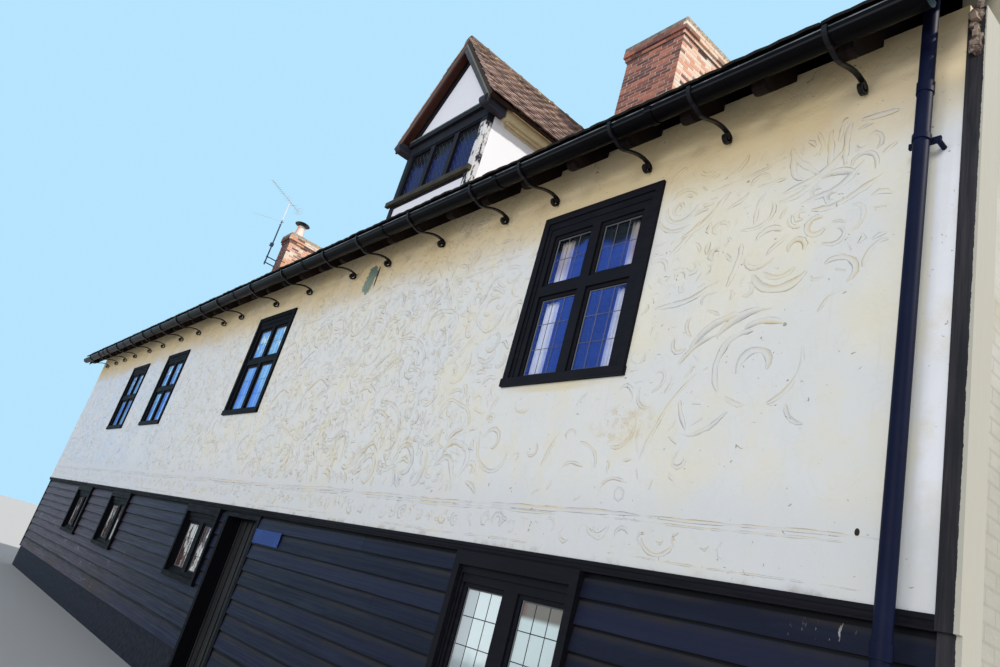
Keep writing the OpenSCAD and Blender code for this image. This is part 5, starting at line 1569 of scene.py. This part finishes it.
def curtain(name, side, ends, drop_ends, depth, folds, swell, seed):
    """A hanging curtain in soft folds, open at its foot and gathered at its head"""
    (left, right), (foot, head) = ends, drop_ends
    rng = random.Random(seed)
    across, down = folds * 10, 9
    phase = [rng.uniform(-0.5, 0.5) for _ in range(folds + 2)]
    points, faces = [], []
    for j in range(down + 1):
        t = j / down
        for i in range(across + 1):
            u = i / across
            k = u * folds
            sway = phase[int(k)] * (1 - k % 1) + phase[int(k) + 1] * (k % 1)
            wave = math.sin(2 * math.pi * k + sway) * swell * (0.55 + 0.45 * t)
            points.append(side.at(left + (right - left) * u + 0.004 * math.sin(5 * k + 3 * t),
                                  head - (head - foot) * t, -depth + wave))
    for j in range(down):
        for i in range(across):
            a = j * (across + 1) + i
            faces.append((a, a + 1, a + across + 2, a + across + 1))
    mesh = mesh_of(name, points, faces=faces)
    work = bmesh.new()
    work.from_mesh(mesh)
    if sum((f.normal for f in work.faces), Vector()).dot(side.out) < 0:
        bmesh.ops.reverse_faces(work, faces=work.faces)
    area = sum(f.calc_area() for f in work.faces)
    work.to_mesh(mesh)
    work.free()
    for face in mesh.polygons:
        face.use_smooth = True
    mesh.materials.append(MATERIALS["curtain"])
    piece = new_object(name, mesh)
    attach(piece, HOUSE)
    return piece


def make_windows():
    s = settings("house_windows")
    lead = flat_section("lead_section", s.lead / 2, LEAD_THICK)
    edge = flat_section("edge_section", s.edge / 2, 2 * LEAD_THICK)
    thirds = (1 / 3, 2 / 3)
    sides = {"street": (STREET, STREET_LOW, UPPER_WINDOWS, LOW_WINDOWS),
             "back": (BACK, BACK_LOW, UPPER_WINDOWS, LOW_WINDOWS),
             "gable": (GABLE, GABLE_LOW, [GABLE_WINDOW], GABLE_WINDOW[:1])}
    pieces = []
    for name, (upper_side, low_side, upper, lower) in sides.items():
        leads, edges = Outline(), Outline()
        for w in upper:
            for n, light in enumerate(upper_lights(w)):
                lead_light(upper_side, leads, edges, light, UPPER_GLASS_IN, 3, (0.52,) if n > 1 else thirds)
        for x in lower:
            for light in low_lights(x):
                lead_light(low_side, leads, edges, light, LOW_GLASS_IN, 3, thirds)
        out = upper_side.out
        pieces += [settle(swept("leads_" + name, leads, lead, "lead_grey", out, 0.3)),
                   settle(swept("casement_edges_" + name, edges, edge, "pane_edge", out, 0.3))]
    drop(lead, edge)
    return pieces + hang_curtains()


def hang_curtains():
    """The curtains that show, and plain ones behind the windows that don't"""
    pieces = []
    inside = UPPER_GLASS_IN + 0.052

    def span_of(lights):
        return lights[0][2] - 0.02, lights[2][3] + 0.03

    def half_of(w):
        return w[0] + 0.19, w[0] + w[2] / 2 - 0.10

    for n, w in enumerate(UPPER_WINDOWS):
        lights = upper_lights(w)
        if n == 3:
            a, b = lights[0][0], lights[1][1]
            for name, ends, folds, swell, seed in (("left", (a - 0.004, a + 0.138), 4, 0.013, 61),
                                                   ("right", (b - 0.142, b - 0.068), 2, 0.012, 62)):
                pieces.append(curtain("curtain_right_window_" + name, STREET, ends, span_of(lights), inside, folds,
                                      swell, seed))
        else:
            for k, hand in enumerate(("left", "right")):
                a, b = lights[k][:2]
                pieces.append(curtain("curtain_%d_%s" % (n + 1, hand), STREET, (a - 0.01, a + (b - a) * 0.62),
                                      span_of(lights), inside, 5, 0.02, 63 + 2 * n + k))
        pieces.append(curtain("curtain_back_%d" % (n + 1), BACK, half_of(w), span_of(lights), inside, 5, 0.02, 80 + n))
    pieces.append(curtain("curtain_gable", GABLE, half_of(GABLE_WINDOW), span_of(upper_lights(GABLE_WINDOW)), inside, 5,
                          0.02, 90))
    for n, x in enumerate(LOW_WINDOWS):
        for k, (a, b, foot, head) in enumerate(low_lights(x)):
            pieces.append(curtain("curtain_ground_%d_%s" % (n + 1, ("left", "right")[k]), STREET_LOW,
                                  (a - 0.01, b + 0.01), (foot - 0.02, head + 0.03), LOW_GLASS_IN + 0.075, 6, 0.014,
                                  100 + 2 * n + k))
    return pieces


# ---------------------------------------------------------------- dormer and door
# Width of a light of the dormer and the step from one to the next, then the step of its diamond leads
DORMER_LIGHT, DORMER_STEP = 0.46, 0.55
DIAMOND = (0.082, 0.115)
# Heights of the door's studs over its foot
STUD_LEVELS = (0.18, 0.62, 1.06, 1.50)


def make_dormer():
    lo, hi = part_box("dormer_glass")
    s = settings("house_windows")
    leads, edges = Outline(), Outline()
    side = Side((0, lo.y, 0), (1, 0, 0), (0, -1, 0))
    for i in range(3):
        a = lo.x + i * DORMER_STEP
        light = (a, a + DORMER_LIGHT, lo.z, hi.z)
        diamond_leads(leads, light, lo.y, *DIAMOND)
        lead_light(side, leads, edges, light, 0.0, 1, ())
    lead = flat_section("lead_section", s.lead * 0.45, 0.003)
    edge = flat_section("edge_section", s.edge / 2, 0.006)
    pieces = [settle(swept("leads_dormer", leads, lead, "dormer_lead", side.out, 0.3)),
              settle(swept("casement_edges_dormer", edges, edge, "dormer_joinery", side.out, 0.3))]
    drop(lead, edge)
    cheeks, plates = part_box("dormer_cheeks"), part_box("dormer_plates")
    back, foot = plates[1].y - 0.05, plates[0].z
    soffits = []
    for sign, near, reach in ((1, cheeks[1].x, plates[1].x), (-1, cheeks[0].x, plates[0].x)):
        start = near + sign * 0.001
        for front, below, end, above in ((0.40, 0.026, reach - sign * 0.045, 0.0005),
                                         (0.42, 0.050, near + sign * 0.028, 0.027)):
            soffits.append(((start, DORMER_FRONT + front, foot - below), (end, back, foot - above)))
    return pieces + [blocks("dormer_soffits", soffits, "dormer_cream", 0.004)]


def make_door():
    """Studs on the cover strips of the front door"""
    lo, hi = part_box("front_door")
    marks = Marks()
    strips, strip, margin = 6, 0.045, 0.014
    for i in range(strips):
        x = lo.x + margin + i * (hi.x - lo.x - 2 * margin - strip) / (strips - 1) + strip / 2
        for z in STUD_LEVELS:
            marks.put((x, lo.y - 0.0008, lo.z + z), (math.pi / 2, 0, 0))
    work = bmesh.new()
    bmesh.ops.create_uvsphere(work, u_segments=8, v_segments=5, radius=0.009)
    bmesh.ops.scale(work, vec=(1, 1, 0.55), verts=work.verts)
    stud = new_object("stud_item", kept(work, "stud_item"))
    studs = scatter("door_studs", marks, stud, "iron_stud", 0.05, 0.0004, 51, LEAF)
    drop(stud)
    return [studs]


# ---------------------------------------------------------------- stage
# Name, strength, place, width in degrees and tone of each light; all point at the foot of the house
LIGHTS = [
    ("sun", 3.3, (6.2, 3.0, 7.2), 2, (1.0, 0.94, 0.86)),
    ("sky", 1.14, (9, -24, 6.6), 22, (1.0, 0.985, 0.96)),
    ("fill", 0.54, (-2, -21, 1.2), 20, (1.0, 1.0, 1.0)),
]
# The camera's own right, up and backward directions
CAMERA_AXES = ((0.62816, 0.73401, 0.25814), (0.11834, -0.41804, 0.90069), (0.76903, -0.53523, -0.34946))
CAMERA_PLACE = (11.694, -6.470, 1.640)
FLOOR_HALF = 160


def make_stage():
    h = FLOOR_HALF
    floor = mesh_of("floor", [(-h, -h, 0), (h, -h, 0), (h, h, 0), (-h, h, 0)], faces=[(0, 1, 2, 3)])
    ground = new_object("floor", floor)
    f = Finish("floor_pale", rough=0.9, Specular_IOR_Level=0.1)
    f.tone = (0.52, 0.525, 0.53)
    floor.materials.append(f.material)
    ground.location.z = -0.002
    ground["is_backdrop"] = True
    light_sky()
    for name, energy, place, degrees, tone in LIGHTS:
        data = bpy.data.lights.new(name, "SUN")
        data.energy, data.color, data.angle = energy, tone, math.radians(degrees)
        light = new_object(name, data)
        light.location = place
        light.rotation_euler = (-Vector(place)).to_track_quat("-Z", "Y").to_euler()
    data = bpy.data.cameras.new("camera")
    data.sensor_width, data.lens, data.clip_end = 36, 27.34, 500
    camera = new_object("camera", data)
    camera.matrix_world = Matrix.Translation(CAMERA_PLACE) @ Matrix(CAMERA_AXES).transposed().to_4x4()
    bpy.context.scene.camera = camera
    bpy.context.scene.view_settings.view_transform = "Standard"
    return [ground]


def light_sky():
    """Soft light from all round; the camera, glass and gloss see a plain blue in its place"""
    world = bpy.data.worlds.new("studio")
    bpy.context.scene.world = world
    world.use_nodes = True
    tree = world.node_tree
    soft = tree.nodes["Background"]
    put(tree, soft.inputs["Color"], (0.84, 0.91, 1.0))
    put(tree, soft.inputs["Strength"], 0.45)
    blue = add_node(tree, "ShaderNodeBackground", {"Color": (0.47, 0.78, 1.0), "Strength": 1.0})
    rays = add_node(tree, "ShaderNodeLightPath").outputs
    seen = rays["Is Camera Ray"]
    for kind in ("Is Glossy Ray", "Is Transmission Ray"):
        seen = add_node(tree, "ShaderNodeMath", {0: seen, 1: rays[kind]}, operation="MAXIMUM").outputs[0]
    mix = add_node(tree, "ShaderNodeMixShader", {0: seen, 1: soft.outputs[0], 2: blue.outputs[0]})
    put(tree, tree.nodes["World Output"].inputs["Surface"], mix.outputs[0])


# ---------------------------------------------------------------- operators
class Step:
    """What every operator of the add-on shares"""

    bl_options = {"REGISTER", "UNDO"}

    def finished(self, pieces):
        """Ends the step, or stops it where something came out empty"""
        for piece in pieces:
            if not piece.data.polygons:
                raise RuntimeError("%s came out empty" % piece.name)
        return {"FINISHED"}


class HOUSE_OT_finishes(Step, bpy.types.Operator):
    """Make the materials and give the frame's pieces theirs"""

    bl_idname = "house.finishes"
    bl_label = "Finishes"

    def execute(self, context):
        make_materials()
        TREES.update(sweep=sweep_tree(), scatter=scatter_tree())
        dress_nodes()
        return self.finished(NODES.values())


class HOUSE_OT_stage(Step, bpy.types.Operator):
    """Set the floor, the lights and the camera"""

    bl_idname = "house.stage"
    bl_label = "Stage"

    def execute(self, context):
        return self.finished(make_stage())


class HOUSE_OT_boards(Step, bpy.types.Operator):
    """Lay the boards of the ground floor"""

    bl_idname = "house.boards"
    bl_label = "Weatherboards"

    def execute(self, context):
        return self.finished(make_boards())


class HOUSE_OT_roofs(Step, bpy.types.Operator):
    """Tile the main roof and the dormer"""

    bl_idname = "house.roofs"
    bl_label = "Roof tiles"

    def execute(self, context):
        return self.finished(make_roofs())


class HOUSE_OT_chimneys(Step, bpy.types.Operator):
    """Lay the bricks of both chimneys"""

    bl_idname = "house.chimneys"
    bl_label = "Chimney bricks"

    def execute(self, context):
        return self.finished(make_chimneys())


class HOUSE_OT_pargeting(Step, bpy.types.Operator):
    """Draw the scrolls on the street front"""

    bl_idname = "house.pargeting"
    bl_label = "Pargeting"

    def execute(self, context):
        return self.finished(make_pargeting())


class HOUSE_OT_windows(Step, bpy.types.Operator):
    """Lead the lights and hang the curtains"""

    bl_idname = "house.windows"
    bl_label = "Windows"

    def execute(self, context):
        return self.finished(make_windows())


class HOUSE_OT_dormer(Step, bpy.types.Operator):
    """Lead the dormer's lights and line its eaves"""

    bl_idname = "house.dormer"
    bl_label = "Dormer"

    def execute(self, context):
        return self.finished(make_dormer())


class HOUSE_OT_door(Step, bpy.types.Operator):
    """Stud the front door"""

    bl_idname = "house.door"
    bl_label = "Front door"

    def execute(self, context):
        return self.finished(make_door())


OPERATORS = [HOUSE_OT_finishes, HOUSE_OT_stage, HOUSE_OT_boards, HOUSE_OT_roofs, HOUSE_OT_chimneys,
             HOUSE_OT_pargeting, HOUSE_OT_windows, HOUSE_OT_dormer, HOUSE_OT_door]


class HOUSE_PT_pieces(bpy.types.Panel):
    """Lists the operators and the settings"""

    bl_label = "Half Timbered House"
    bl_idname = "HOUSE_PT_pieces"
    bl_space_type = "VIEW_3D"
    bl_region_type = "UI"
    bl_category = "House"

    def draw(self, context):
        for item in OPERATORS:
            self.layout.operator(item.bl_idname)
        for name, group in GROUPS.items():
            box = self.layout.box()
            box.label(text=group.__doc__)
            for key in group.__annotations__:
                box.prop(getattr(context.scene, name), key)


def register():
    for name, group in GROUPS.items():
        bpy.utils.register_class(group)
        setattr(bpy.types.Scene, name, bpy.props.PointerProperty(type=group))
    for item in OPERATORS:
        bpy.utils.register_class(item)
    bpy.utils.register_class(HOUSE_PT_pieces)


def unregister():
    bpy.utils.unregister_class(HOUSE_PT_pieces)
    for item in reversed(OPERATORS):
        bpy.utils.unregister_class(item)
    for name, group in GROUPS.items():
        delattr(bpy.types.Scene, name)
        bpy.utils.unregister_class(group)


def main():
    register()
    for item in OPERATORS:
        getattr(bpy.ops.house, item.bl_idname.split(".")[1])()
    corners = {"cad": CAD_BOX, "visual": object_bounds()}
    {name: [[float(v) for v in corner] for corner in box] for name, box in corners.items()}


if __name__ == "__main__":
    main()
